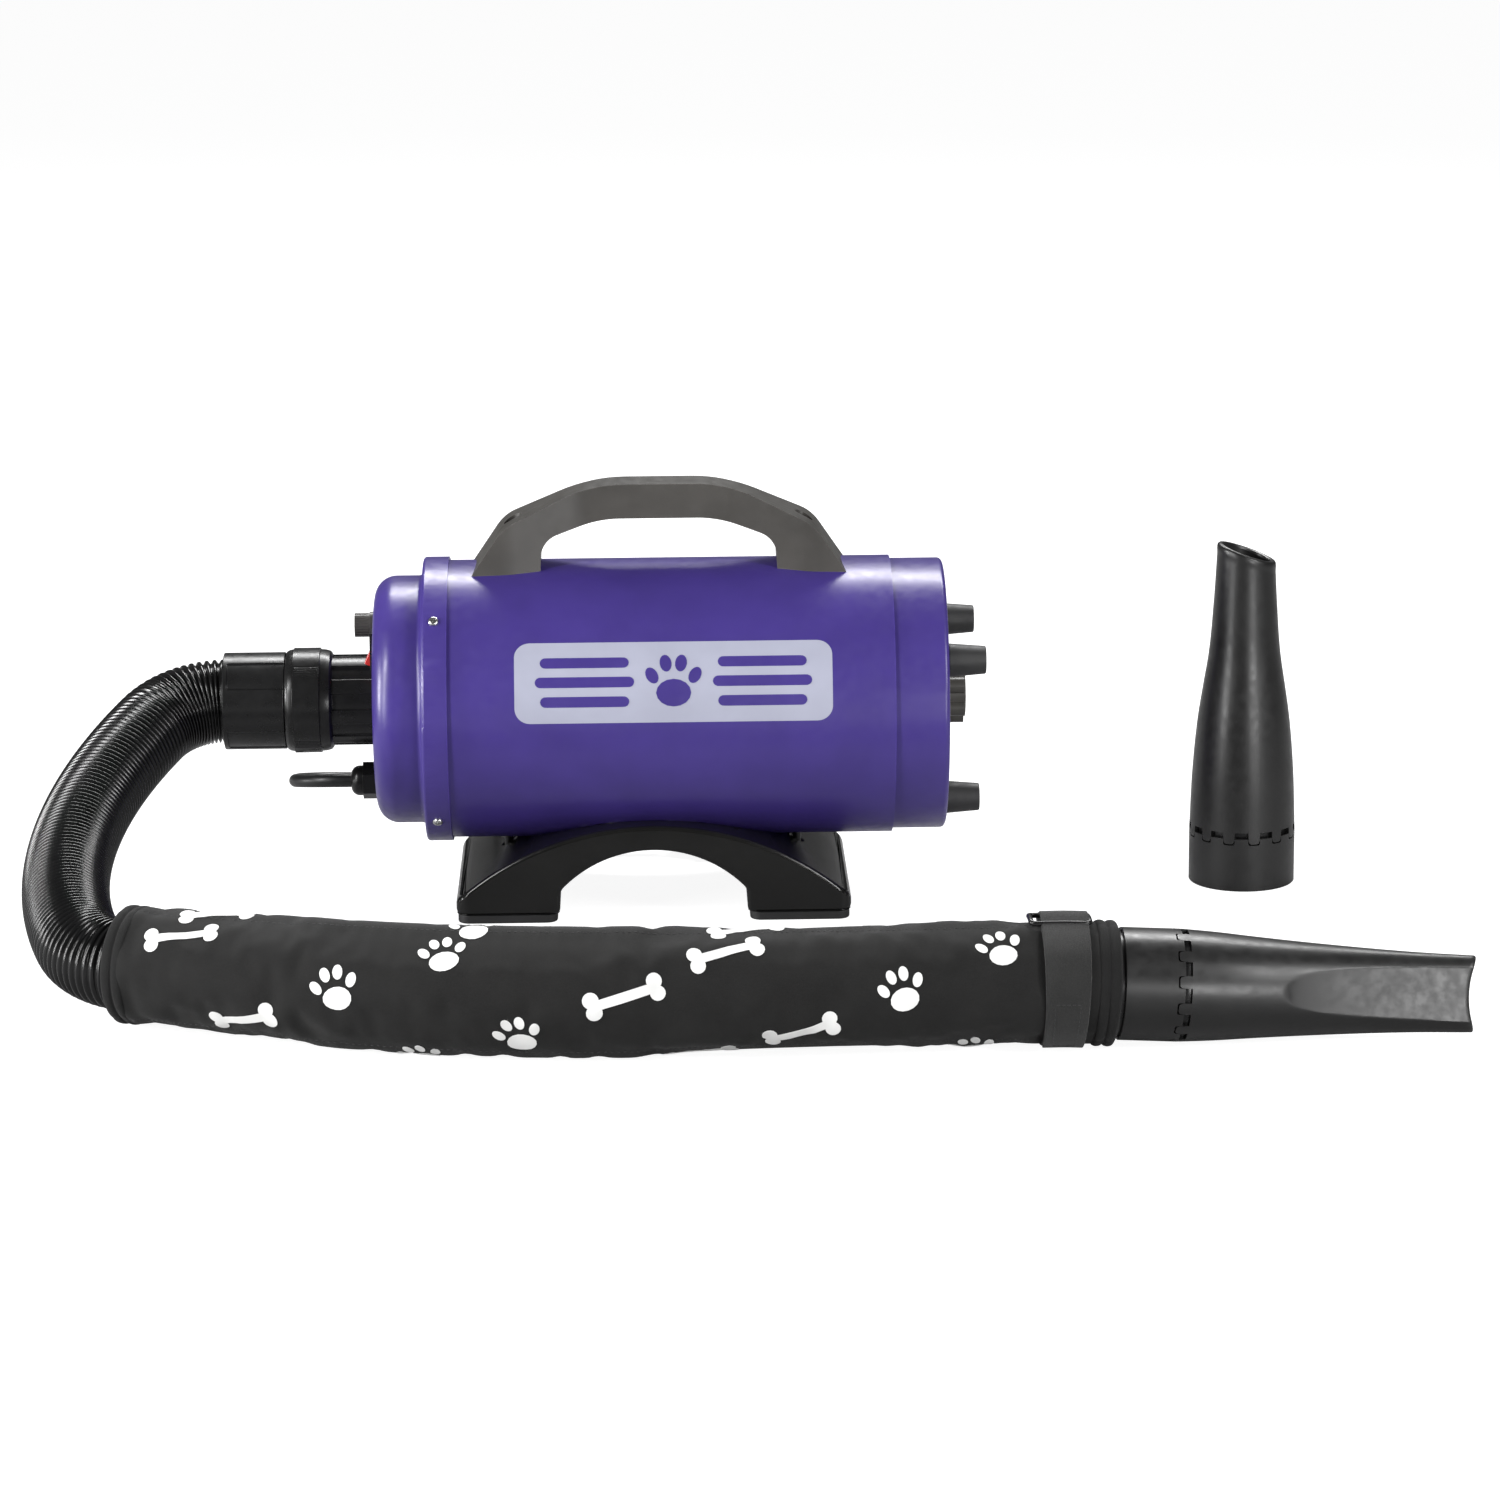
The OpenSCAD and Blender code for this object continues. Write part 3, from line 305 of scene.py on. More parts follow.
def shading_group(weld):
    """Geometry nodes that shade a mesh smoothly and keep its edges sharp above an angle."""
    group = bpy.data.node_groups.new("edge_shading", "GeometryNodeTree")
    group.interface.new_socket("Geometry", in_out="INPUT", socket_type="NodeSocketGeometry")
    group.interface.new_socket("Geometry", in_out="OUTPUT", socket_type="NodeSocketGeometry")
    flow = group.nodes.new("NodeGroupInput").outputs[0]
    if weld:
        merge = group.nodes.new("GeometryNodeMergeByDistance")
        merge.inputs["Distance"].default_value = 0.005 * MM
        group.links.new(flow, merge.inputs["Geometry"])
        flow = merge.outputs[0]
    remove = group.nodes.new("GeometryNodeRemoveAttribute")
    remove.inputs["Name"].default_value = "custom_normal"
    group.links.new(flow, remove.inputs["Geometry"])
    flow = remove.outputs[0]
    edge_angle = group.nodes.new("GeometryNodeInputMeshEdgeAngle")
    steep = group.nodes.new("FunctionNodeCompare")
    steep.inputs[1].default_value = SHARP_ANGLE
    group.links.new(edge_angle.outputs[0], steep.inputs[0])
    for domain in ("FACE", "EDGE"):
        shade = group.nodes.new("GeometryNodeSetShadeSmooth")
        shade.domain = domain
        shade.inputs["Shade Smooth"].default_value = domain == "FACE"
        if domain == "EDGE":
            group.links.new(steep.outputs[0], shade.inputs["Selection"])
        group.links.new(flow, shade.inputs["Geometry"])
        flow = shade.outputs[0]
    group.links.new(flow, group.nodes.new("NodeGroupOutput").inputs[0])
    return group


WELD_SHADING = shading_group(weld=True)
EDGE_SHADING = shading_group(weld=False)


def shade_by_angle(obj, group):
    modifier = obj.modifiers.new("edge_shading", "NODES")
    modifier.node_group = group


# ---- Materials ----

def node(tree, kind, links=None, **settings):
    """Adds a shader node. Links hold input names with a value or another node's output."""
    made = tree.nodes.new(kind)
    for key, value in settings.items():
        setattr(made, key, value)
    for key, value in (links or {}).items():
        if isinstance(value, bpy.types.NodeSocket):
            tree.links.new(value, made.inputs[key])
        else:
            made.inputs[key].default_value = value
    return made


def math_node(tree, operation, a, b=0.0):
    return node(tree, "ShaderNodeMath", {0: a, 1: b}, operation=operation).outputs[0]


def noise(tree, place, size, detail=2.0):
    """Noise whose blobs are about `size` millimetres."""
    links = {"Vector": place, "Scale": 1 / (size * MM), "Detail": detail}
    return node(tree, "ShaderNodeTexNoise", links).outputs[0]


def scaled(tree, value, low, high):
    return node(tree, "ShaderNodeMapRange", {0: value, 1: 0.35, 2: 0.65, 3: low, 4: high}).outputs[0]


def mixed(tree, factor, a, b):
    mix = node(tree, "ShaderNodeMix", data_type="RGBA")
    tree.links.new(factor, mix.inputs[0])
    for slot, value in ((6, a), (7, b)):
        if isinstance(value, bpy.types.NodeSocket):
            tree.links.new(value, mix.inputs[slot])
        else:
            mix.inputs[slot].default_value = (*value, 1.0)
    return mix.outputs[2]


def tinted(colour, share):
    return tuple(min(1.0, c * share) for c in colour)


def new_material(name):
    material = bpy.data.materials.new(name)
    material.use_nodes = True
    tree = material.node_tree
    return material, tree, tree.nodes["Principled BSDF"]


def surface(name, colour, roughness, grain=0.6, depth=0.02, mottle=0.15, metallic=0.0, coat=0.0,
            sheen=0.0, edge_wear_and_highlight=0.0, specular=0.5):
    """Moulded, painted or metal surface: fine grain, uneven colour and gloss, and edges lightened in colour, partly
    as wear and partly as a painted edge highlight.
    """
    material, tree, shader = new_material(name)
    place = node(tree, "ShaderNodeTexCoord").outputs["Object"]
    broad = noise(tree, place, 35, 3.0)
    patch = noise(tree, place, 6, 4.0)
    tone = mixed(tree, scaled(tree, broad, 0, 1), tinted(colour, 1 - mottle), tinted(colour, 1 + mottle))
    # Lighter colour along the edges: partly worn edges, partly a painted highlight on the edges.
    if edge_wear_and_highlight:
        rounded = node(tree, "ShaderNodeBevel", {"Radius": 1.0 * MM}, samples=4).outputs[0]
        flat = node(tree, "ShaderNodeNewGeometry").outputs["Normal"]
        dot = node(tree, "ShaderNodeVectorMath", {0: rounded, 1: flat}, operation="DOT_PRODUCT")
        facing = dot.outputs["Value"]
        edge = node(tree, "ShaderNodeMapRange", {0: facing, 1: 0.995, 2: 0.85, 3: 0.0, 4: edge_wear_and_highlight}).outputs[0]
        worn_and_highlit_edge = math_node(tree, "MULTIPLY", edge, scaled(tree, patch, 0.3, 1.0))
        tone = mixed(tree, worn_and_highlit_edge, tone, tinted(colour, 4.0))
    tree.links.new(tone, shader.inputs["Base Color"])
    gloss = scaled(tree, patch, roughness * 0.88, min(1.0, roughness * 1.12))
    tree.links.new(gloss, shader.inputs["Roughness"])
    fine = noise(tree, place, grain, 2.0)
    relief = node(tree, "ShaderNodeBump", {"Height": fine, "Distance": depth * MM, "Strength": 0.6})
    tree.links.new(relief.outputs[0], shader.inputs["Normal"])
    shader.inputs["Metallic"].default_value = metallic
    shader.inputs["Coat Weight"].default_value = coat
    shader.inputs["Coat Roughness"].default_value = 0.25
    shader.inputs["Sheen Weight"].default_value = sheen
    shader.inputs["Specular IOR Level"].default_value = specular
    return material


def woven(name, colour, roughness, pitch, depth, nap, sheen):
    """Fabric whose threads follow the UVs in millimetres, with a nap of short fibres."""
    material, tree, shader = new_material(name)
    coordinates = node(tree, "ShaderNodeTexCoord")
    split = node(tree, "ShaderNodeSeparateXYZ", {0: coordinates.outputs["UV"]})
    waves = [math_node(tree, "SINE", math_node(tree, "MULTIPLY", split.outputs[i], 2 * math.pi / pitch[i]))
             for i in range(2)]
    threads = math_node(tree, "MULTIPLY", waves[0], waves[1])
    place = coordinates.outputs["Object"]
    fibres = noise(tree, place, nap, 3.0)
    height = math_node(tree, "ADD", math_node(tree, "MULTIPLY", threads, 0.5),
                       math_node(tree, "MULTIPLY", fibres, 2.0))
    broad = scaled(tree, noise(tree, place, 28, 4.0), 0, 1)
    tone = mixed(tree, broad, tinted(colour, 0.75), tinted(colour, 1.25))
    tone = mixed(tree, scaled(tree, fibres, 0.0, 0.5), tone, tinted(colour, 2.2))
    tree.links.new(tone, shader.inputs["Base Color"])
    relief = node(tree, "ShaderNodeBump", {"Height": height, "Distance": depth * MM, "Strength": 0.8})
    tree.links.new(relief.outputs[0], shader.inputs["Normal"])
    shader.inputs["Roughness"].default_value = roughness
    shader.inputs["Sheen Weight"].default_value = sheen
    shader.inputs["Sheen Roughness"].default_value = 0.5
    shader.inputs["Specular IOR Level"].default_value = 0.25
    return material


MATERIALS = {
    "violet_paint": surface("violet_paint", (0.046, 0.029, 0.185), 0.34, grain=1.6, depth=0.02,
                            mottle=0.06, coat=0.1, edge_wear_and_highlight=0.2, specular=0.45),
    "black_plastic": surface("black_plastic", (0.007, 0.007, 0.0072), 0.30, grain=1.5, depth=0.003, specular=0.35),
    "gloss_black": surface("gloss_black", (0.0065, 0.0065, 0.006), 0.18, grain=4.0, depth=0.003, specular=0.4),
    "satin_plastic": surface("satin_plastic", (0.046, 0.043, 0.039), 0.38, grain=0.6, depth=0.012, edge_wear_and_highlight=0.3),
    "hose_plastic": surface("hose_plastic", (0.005, 0.005, 0.0052), 0.2, grain=3.0, depth=0.003, specular=0.4),
    "nozzle_plastic": surface("nozzle_plastic", (0.0075, 0.0074, 0.0074), 0.36, grain=1.5, depth=0.001),
    "sleeve_fabric": woven("sleeve_fabric", (0.0075, 0.0074, 0.0073), 0.92, (0.9, 0.9), 0.08, 0.35, 0.06),
    "strap_webbing": woven("strap_webbing", (0.013, 0.013, 0.0128), 0.85, (1.0, 1.4), 0.22, 0.45, 0.15),
    "hem_fabric": woven("hem_fabric", (0.006, 0.006, 0.006), 0.9, (0.8, 1.2), 0.1, 0.4, 0.05),
    "thread": surface("thread", (0.016, 0.016, 0.017), 0.8, grain=0.3, depth=0.05, sheen=0.2),
    "rubber": surface("rubber", (0.014, 0.014, 0.0145), 0.55, grain=0.8, depth=0.03),
    "cord_rubber": surface("cord_rubber", (0.009, 0.009, 0.0095), 0.42, grain=1.2, depth=0.02),
    "steel": surface("steel", (0.62, 0.62, 0.61), 0.28, grain=0.25, depth=0.01, mottle=0.1, metallic=1.0),
    "galvanised": surface("galvanised", (0.55, 0.56, 0.57), 0.42, grain=4.0, depth=0.02, mottle=0.25, metallic=1.0),
    "aluminium": surface("aluminium", (0.75, 0.75, 0.76), 0.36, grain=0.4, depth=0.01, metallic=1.0),
    "red_plastic": surface("red_plastic", (0.62, 0.012, 0.010), 0.22, grain=1.0, depth=0.01, coat=0.4),
    "foam": surface("foam", (0.030, 0.030, 0.032), 0.95, grain=1.6, depth=0.8, mottle=0.4),
    "copper": surface("copper", (0.45, 0.17, 0.07), 0.35, grain=0.5, depth=0.15, metallic=0.8),
    "mica": surface("mica", (0.55, 0.48, 0.36), 0.6, grain=2.0, depth=0.05, mottle=0.25),
    "nichrome": surface("nichrome", (0.35, 0.31, 0.28), 0.45, grain=0.3, depth=0.02, metallic=1.0),
    "board": surface("board", (0.02, 0.14, 0.05), 0.45, grain=1.2, depth=0.03, mottle=0.2),
    "carbon": surface("carbon", (0.03, 0.03, 0.03), 0.7, grain=0.3, depth=0.04),
    "pin_brass": surface("pin_brass", (0.70, 0.62, 0.45), 0.25, grain=0.5, depth=0.01, metallic=1.0),
    "grey_print": surface("grey_print", (0.335, 0.345, 0.43), 0.42, grain=1.6, depth=0.02, mottle=0.04),
    "white_print": surface("white_print", (0.74, 0.74, 0.73), 0.7, grain=0.5, depth=0.06, mottle=0.08),
    "floor_paper": surface("floor_paper", (0.35, 0.35, 0.353), 0.7, grain=3.0, depth=0.02, mottle=0.01),
}


def dress(obj, material, body=None, replaces=()):
    """Gives a new piece its material and its body, and hides the CAD nodes it stands for."""
    obj.data.materials.clear()
    obj.data.materials.append(MATERIALS[material])
    if body:
        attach(obj, body)
    if replaces:
        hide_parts(*replaces)


# ---- CAD nodes that stay ----

# Width of the rounded edges on the CAD nodes that can be seen.
EDGE_WIDTH = {
    "front_cover": 0.8, "rear_cap": 0.6, "handle": 0.9, "base": 2.6, "foot_pads": 1.0, "filter_cover": 0.4,
    "filter_knob": 1.0, "rear_feet": 0.8, "outlet_spigot": 0.5, "hose_cuff": 0.6, "speed_knob": 0.35,
    "gland_body": 0.5, "gland_nut": 0.5, "switch_housing": 0.4, "switch_rocker": 0.4, "plug_body": 1.2,
    "cover_screws": 0.15, "handle_screws": 0.25, "rear_foot_screws": 0.25, "base_screws": 0.25,
    "body_tube": 0.3, "plug_pins": 0.2,
}

# CAD nodes whose rounded edges keep their full width beside short edges.
UNCLAMPED = ("base", "hose_cuff", "foot_pads", "outlet_spigot")

# CAD nodes whose finish differs from their slot's: the glossy base and its blackened screws.
OWN_MATERIAL = {"base": "gloss_black", "base_screws": "black_plastic"}


def finish_cad_nodes():
    for name, obj in frame["nodes"].items():
        obj.data.materials.clear()
        obj.data.materials.append(MATERIALS[OWN_MATERIAL.get(name, SLOT_OF[name])])
        shade_by_angle(obj, WELD_SHADING)
        if name in EDGE_WIDTH:
            flatten = obj.modifiers.new("flat_faces", "DECIMATE")
            flatten.decimate_type = "DISSOLVE"
            flatten.angle_limit = math.radians(0.4)
            bevel(obj, EDGE_WIDTH[name], clamp=name not in UNCLAMPED)


# ---- Hose ----

def rib_radius(distance):
    groove = (0.5 + 0.5 * np.cos(2 * math.pi * distance / RIB_PITCH)) ** 2
    return HOSE_R - RIB_DEPTH * groove


def make_hose():
    distances = np.arange(0, LOOP.length, RIB_PITCH / 6)
    loop = closed_tube("hose_loop_ribbed", LOOP, distances, rib_radius(distances), 0.4, 56)
    dress(loop, "hose_plastic", replaces=["hose_loop"])
    start = LOOP.at(LOOP_LEAD * 1.6)[0] * MM
    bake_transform(loop)
    distances = np.arange(0.6, WAND.length, RIB_PITCH / 4)
    inside = closed_tube("hose_run_ribbed", WAND, distances, rib_radius(distances), 0.4, 32)
    dress(inside, "hose_plastic", "wand", replaces=["hose_run"])


# ---- Sleeve ----

SLEEVE_SIDES = 48
SLEEVE_STEP = 5.0
SEAM_ANGLES = (math.radians(232), math.radians(96))
SWELL_FRAMES = 20
SWELL_LIMIT = 1.5
TABLE_GAP = 0.7         # height of the lowest cloth above the table


def sleeve_radius(distance, angles):
    """Undisturbed radius: a little slimmer at the outlet end and under the strap, drawn in at the seams."""
    base = SLEEVE_R - 1.3 * (1 - smooth(distance / 120)) + 1.1 * bump(distance - 240, 120)
    base -= 1.0 * bump(distance - STRAP_AT - STRAP_W / 2, 14)
    radius = np.full(len(angles), base)
    for seam in SEAM_ANGLES:
        away = np.abs((angles - seam + math.pi) % (2 * math.pi) - math.pi)
        radius -= 0.5 * bump(away, 0.06)
    return radius


def make_sleeve():
    angles = np.arange(SLEEVE_SIDES) * 2 * math.pi / SLEEVE_SIDES
    distances = np.arange(3.0, SLEEVE_END - 7, SLEEVE_STEP)
    radii = [sleeve_radius(d, angles) for d in distances]
    points = sweep(WAND, distances, radii, SLEEVE_SIDES)
    skin = grid_object("sleeve_skin", points, wrap_columns=True,
                       uv_step=(SLEEVE_STEP, 2 * math.pi * SLEEVE_R / SLEEVE_SIDES))
    swell(skin, points, angles)
    subdivide(skin)
    apply_modifiers(skin)
    rest_on_table(skin)
    outside = BVHTree.FromObject(skin, bpy.context.evaluated_depsgraph_get())
    solidify(skin, SLEEVE_WALL)
    dress(skin, "sleeve_fabric", "wand", replaces=["sleeve"])
    return outside


def swell(skin, points, angles):
    """Cloth simulation: the padded skin swells a little between its hems, seams and strap."""
    rows = points.shape[0]
    pins = skin.vertex_groups.new(name="sewn")
    near_seam = [any(abs((a - s + math.pi) % (2 * math.pi) - math.pi) < 0.07 for s in SEAM_ANGLES)
                 for a in angles]
    sewn = [i * SLEEVE_SIDES + j for i in range(rows) for j in range(SLEEVE_SIDES)
            if i in (0, rows - 1) or (near_seam[j] and i % 2 == 0)]
    pins.add(sewn, 1.0, "REPLACE")
    cloth = skin.modifiers.new("cloth", "CLOTH")
    settings = cloth.settings
    settings.quality = 6
    settings.mass = 0.3
    settings.tension_stiffness = settings.compression_stiffness = 12
    settings.shear_stiffness = 4
    settings.bending_stiffness = 0.3
    settings.vertex_group_mass = "sewn"
    settings.shrink_min = -0.035
    settings.use_pressure = True
    settings.uniform_pressure_force = 4
    settings.effector_weights.gravity = 0
    cloth.collision_settings.use_collision = False
    cloth.point_cache.frame_start, cloth.point_cache.frame_end = 1, SWELL_FRAMES
    for step in range(1, SWELL_FRAMES + 1):
        bpy.context.scene.frame_set(step)
    evaluated = skin.evaluated_get(bpy.context.evaluated_depsgraph_get())
    moved = np.array([v.co for v in evaluated.data.vertices]) / MM
    skin.modifiers.clear()
    shift = moved - points.reshape(-1, 3)
    size = np.linalg.norm(shift, axis=1, keepdims=True)
    capped = points.reshape(-1, 3) + shift * np.minimum(1.0, SWELL_LIMIT / np.maximum(size, 1e-6))
    skin.data.vertices.foreach_set("co", (capped * MM).ravel())
    skin.data.update()
    bpy.context.scene.frame_set(1)


def rest_on_table(obj):
    for vertex in obj.data.vertices:
        vertex.co.z = max(vertex.co.z, TABLE_GAP * MM)


def hem(name, start, end, rolls, height):
    """Rolled edge around the sleeve between two distances, made of soft rolls."""
    count = 8 * rolls + 1
    share = np.linspace(0, 1, count)
    distances = start + (end - start) * share
    rise = height * np.abs(np.sin(math.pi * rolls * share)) ** 0.55
    sides = 96
    angles = np.arange(sides) * 2 * math.pi / sides
    wobble = 0.25 * np.sin(3 * angles + start) + 0.15 * np.sin(7 * angles + 2)
    base = sleeve_radius((start + end) / 2, angles) - 0.3
    radii = [base + r * (1 + 0.12 * wobble) + 0.2 * wobble for r in rise]
    inner = HOSE_R + 2.4
    at_nozzle = end > BEND_END
    if at_nozzle:
        distances = np.concatenate([distances, [end + 1.2, end, start]])
    else:
        distances = np.concatenate([distances[::-1], [start - 1.2, start, end]])
        radii = radii[::-1]
    radii = radii + [np.full(sides, inner + 2.6), np.full(sides, inner), np.full(sides, inner)]
    points = sweep(WAND, distances, radii, sides)
    obj = grid_object(name, points, wrap_rows=True, wrap_columns=True, uv_step=(1.5, 2.2),
                      flip=not at_nozzle)
    rest_on_table(obj)
    subdivide(obj)
    dress(obj, "hem_fabric", "wand")


def stitch_row(name, places, length=2.0, radius=0.26, sides=6):
    """Short raised stitches, each at a (point, direction, outward) place."""
    profile = [(-0.5, 0.05), (-0.35, 0.8), (0.0, 1.0), (0.35, 0.8), (0.5, 0.05)]
    stitches = []
    for point, way, out in places:
        side = np.cross(way, out)
        angles = np.arange(sides) * 2 * math.pi / sides
        ring = np.outer(np.cos(angles), out) + np.outer(np.sin(angles), side)
        points = np.array([point + way * length * along + ring * radius * size for along, size in profile])
        stitches.append(grid_object("stitch", points, wrap_columns=True, flip=True))
    return join_meshes(name, stitches)


def on_skin(skin, distance, angle, lift):
    """Point and outward direction on the finished sleeve, beside the given place on its centre line."""
    start = WAND.at(distance)[0]
    far = WAND.on_surface(distance, angle, SLEEVE_R + 20)
    way = (far - start) / np.linalg.norm(far - start)
    hit, normal, _, _ = skin.ray_cast(Vector(start * MM), Vector(way))
    if hit is None:
        return WAND.on_surface(distance, angle, SLEEVE_R + lift), way
    return np.array(hit) / MM + way * lift, way


def make_seams(skin):
    for number, seam in enumerate(SEAM_ANGLES):
        places = []
        for distance in np.arange(10, SLEEVE_END - 16, 3.4):
            if not STRAP_AT - 2 < distance < STRAP_AT + STRAP_W + 2:
                point, out = on_skin(skin, distance, seam, 0.1)
                places.append((point, WAND.at(distance)[1], out))
        stitches = stitch_row(f"sleeve_stitches_{number + 1}", places)
        dress(stitches, "thread", "wand")


# ---- Printed shapes ----

def strip(name, half_length, half_width, place, columns, rows):
    """A flat shape laid on a surface by `place`; its half width is a function of -1 to 1 along it."""
    points = np.zeros((columns, rows, 3))
    for i, u in enumerate(-np.cos(np.linspace(0.02, math.pi - 0.02, columns))):
        for j, v in enumerate(np.linspace(-1, 1, rows)):
            points[i, j] = place(u * half_length, v * half_width(u))
    return grid_object(name, points)


def ellipse(x, y, a, b, turn, place):
    """An ellipse centred at (x, y), turned by an angle, on a surface."""
    c, s = math.cos(turn), math.sin(turn)

    def at(u, v):
        return place(x + u * c - v * s, y + u * s + v * c)
    return strip("blob", a, lambda u: b * math.sqrt(max(0.0, 1 - u * u)), at, 9, 5)


def paw(size, place):
    """A plain paw print: one large pad and four toes."""
    blobs = [ellipse(0, -0.22 * size, 0.34 * size, 0.27 * size, 0, place)]
    toes = ((-0.42, 0.12, 0.5), (-0.15, 0.36, 0.15), (0.15, 0.36, -0.15), (0.42, 0.12, -0.5))
    for across, above, turn in toes:
        blobs.append(ellipse(across * size, above * size, 0.115 * size, 0.17 * size, turn, place))
    return blobs


def bone(length, place):
    """A plain bone shape: a straight shaft with two lobes at each end."""
    half, lobe = length / 2, length * 0.10
    blobs = [strip("shaft", half - lobe, lambda u: lobe * 0.62, place, 12, 3)]
    for end in (-1, 1):
        for side in (-1, 1):
            blobs.append(ellipse(end * (half - lobe), side * lobe * 0.8, lobe, lobe, 0, place))
    return blobs


PRINT_ROWS = 9
PRINT_STEP = 148.0
PRINT_SHIFT = 94.0
PRINT_TILT = math.radians(17)


def make_sleeve_prints(skin):
    blobs = []
    for row in range(PRINT_ROWS):
        angle = math.radians(128 + row * 360 / PRINT_ROWS)
        for count in range(4):
            centre = 40 + PRINT_STEP * count + (row * PRINT_SHIFT) % PRINT_STEP
            near_strap = STRAP_AT - 16 < centre < STRAP_AT + STRAP_W + 16
            if centre < 26 or centre > SLEEVE_END - 26 or near_strap:
                continue

            def place(x, y, centre=centre, angle=angle):
                c, s = math.cos(PRINT_TILT), math.sin(PRINT_TILT)
                along, around = x * c - y * s, x * s + y * c
                return on_skin(skin, centre + along, angle - around / SLEEVE_R, 0.28)[0]
            blobs += paw(23, place) if (row + count) % 2 else bone(42, place)
    prints = join_meshes("sleeve_prints", blobs)
    solidify(prints, 0.2, 0.0)
    shade_by_angle(prints, EDGE_SHADING)
    dress(prints, "white_print", "wand")


def make_tube_panel():
    """Plain pale panel on the camera side of the tube, with level bars and a paw print."""
    length, width, corner = 186.0, 48.0, 9.0
    middle = math.radians(19)
    centre_x = TUBE_MID + 8

    def on_tube(lift):
        def place(x, y):
            angle = middle + y / TUBE_R
            radius = TUBE_R + lift
            return np.array([centre_x + x, -radius * math.cos(angle), AXIS_H + radius * math.sin(angle)])
        return place

    def rounded(half, height, r):
        def half_width(u):
            inset = max(0.0, abs(u) * half - (half - r))
            return height - r + math.sqrt(max(0.0, r * r - inset * inset))
        return half_width

    outline = rounded(length / 2, width / 2, corner)
    panel = strip("tube_panel", length / 2, outline, on_tube(0.05), 60, 17)
    solidify(panel, 0.12, 1.0)
    shade_by_angle(panel, EDGE_SHADING)
    dress(panel, "grey_print", "housing")
    face = on_tube(0.2)
    marks = paw(30, face)
    for side in (-1, 1):
        for level in (-11.5, 0.0, 11.5):
            half = 26 if level else 29

            def bar(x, y, side=side, level=level):
                return face(side * 52 + x, level + y)
            marks.append(strip("bar", half, rounded(half, 3.1, 3.1), bar, 24, 5))
    marks = join_meshes("tube_panel_marks", marks)
    solidify(marks, 0.1, 1.0)
    shade_by_angle(marks, EDGE_SHADING)
    dress(marks, "violet_paint", "housing")


# ---- Strap ----

def band(name, first, last, radius, thickness, columns=96, closed=False):
    """A flat webbing band around the sleeve between two angles; radius is a function of the angle."""
    angles = np.linspace(first, last, columns, endpoint=not closed)
    inset = [0.35, 0.0, 0.0, 0.0, 0.0, 0.0, 0.35]
    across = np.array([0.0, 0.5, 6.5, STRAP_W / 2, STRAP_W - 6.5, STRAP_W - 0.5, STRAP_W])
    outer = [[WAND.on_surface(STRAP_AT + d, a, radius(a) + thickness - k) for a in angles]
             for d, k in zip(across, inset)]
    inner = [[WAND.on_surface(STRAP_AT + d, a, radius(a) + k) for a in angles]
             for d, k in zip(across[::-1], inset[::-1])]
    points = np.array(outer + inner)
    return grid_object(name, points, wrap_rows=True, wrap_columns=closed, uv_step=(3.7, STRAP_W / 10))


def close_ends(obj):
    """Caps the two open ends of a band."""
    mesh = bmesh.new()
    mesh.from_mesh(obj.data)
    bmesh.ops.holes_fill(mesh, edges=[e for e in mesh.edges if e.is_boundary])
    bmesh.ops.recalc_face_normals(mesh, faces=mesh.faces)
    mesh.to_mesh(obj.data)
    mesh.free()


def make_strap():
    under = band("strap_loop", 0, 2 * math.pi, lambda a: SLEEVE_R - 0.15, 1.2, closed=True)
    rest_on_table(under)
    dress(under, "strap_webbing", "wand", replaces=["strap"])
    top = math.pi / 2

    def over_buckle(a):
        return SLEEVE_R + 1.2 + 3.6 * float(bump(a - top, 0.22)) + 0.25 * math.sin(5 * a)
    first, last = math.radians(62), math.radians(242)
    tail = band("strap_tail", first, last, over_buckle, 1.5)
    close_ends(tail)
    dress(tail, "strap_webbing", "wand")
    places = []
    corners = [(5.0, 184), (STRAP_W - 5.0, 184), (STRAP_W - 5.0, 236), (5.0, 236)]
    for (x0, a0), (x1, a1) in zip(corners, corners[1:] + corners[:1]):
        length = max(abs(x1 - x0), abs(math.radians(a1 - a0)) * (SLEEVE_R + 3))
        for share in np.arange(0.5, length / 2.9, 1.0) * 2.9 / length:
            x, a = x0 + (x1 - x0) * share, math.radians(a0 + (a1 - a0) * share)
            radius = over_buckle(a) + 1.55
            point = WAND.on_surface(STRAP_AT + x, a, radius)
            ahead = WAND.on_surface(STRAP_AT + x + 0.01 * (x1 - x0),
                                    a + 0.01 * math.radians(a1 - a0), radius)
            way = (ahead - point) / np.linalg.norm(ahead - point)
            places.append((point, way, WAND.on_surface(STRAP_AT + x, a, radius + 1) - point))
    dress(stitch_row("strap_stitches", places), "thread", "wand")
    make_buckle()


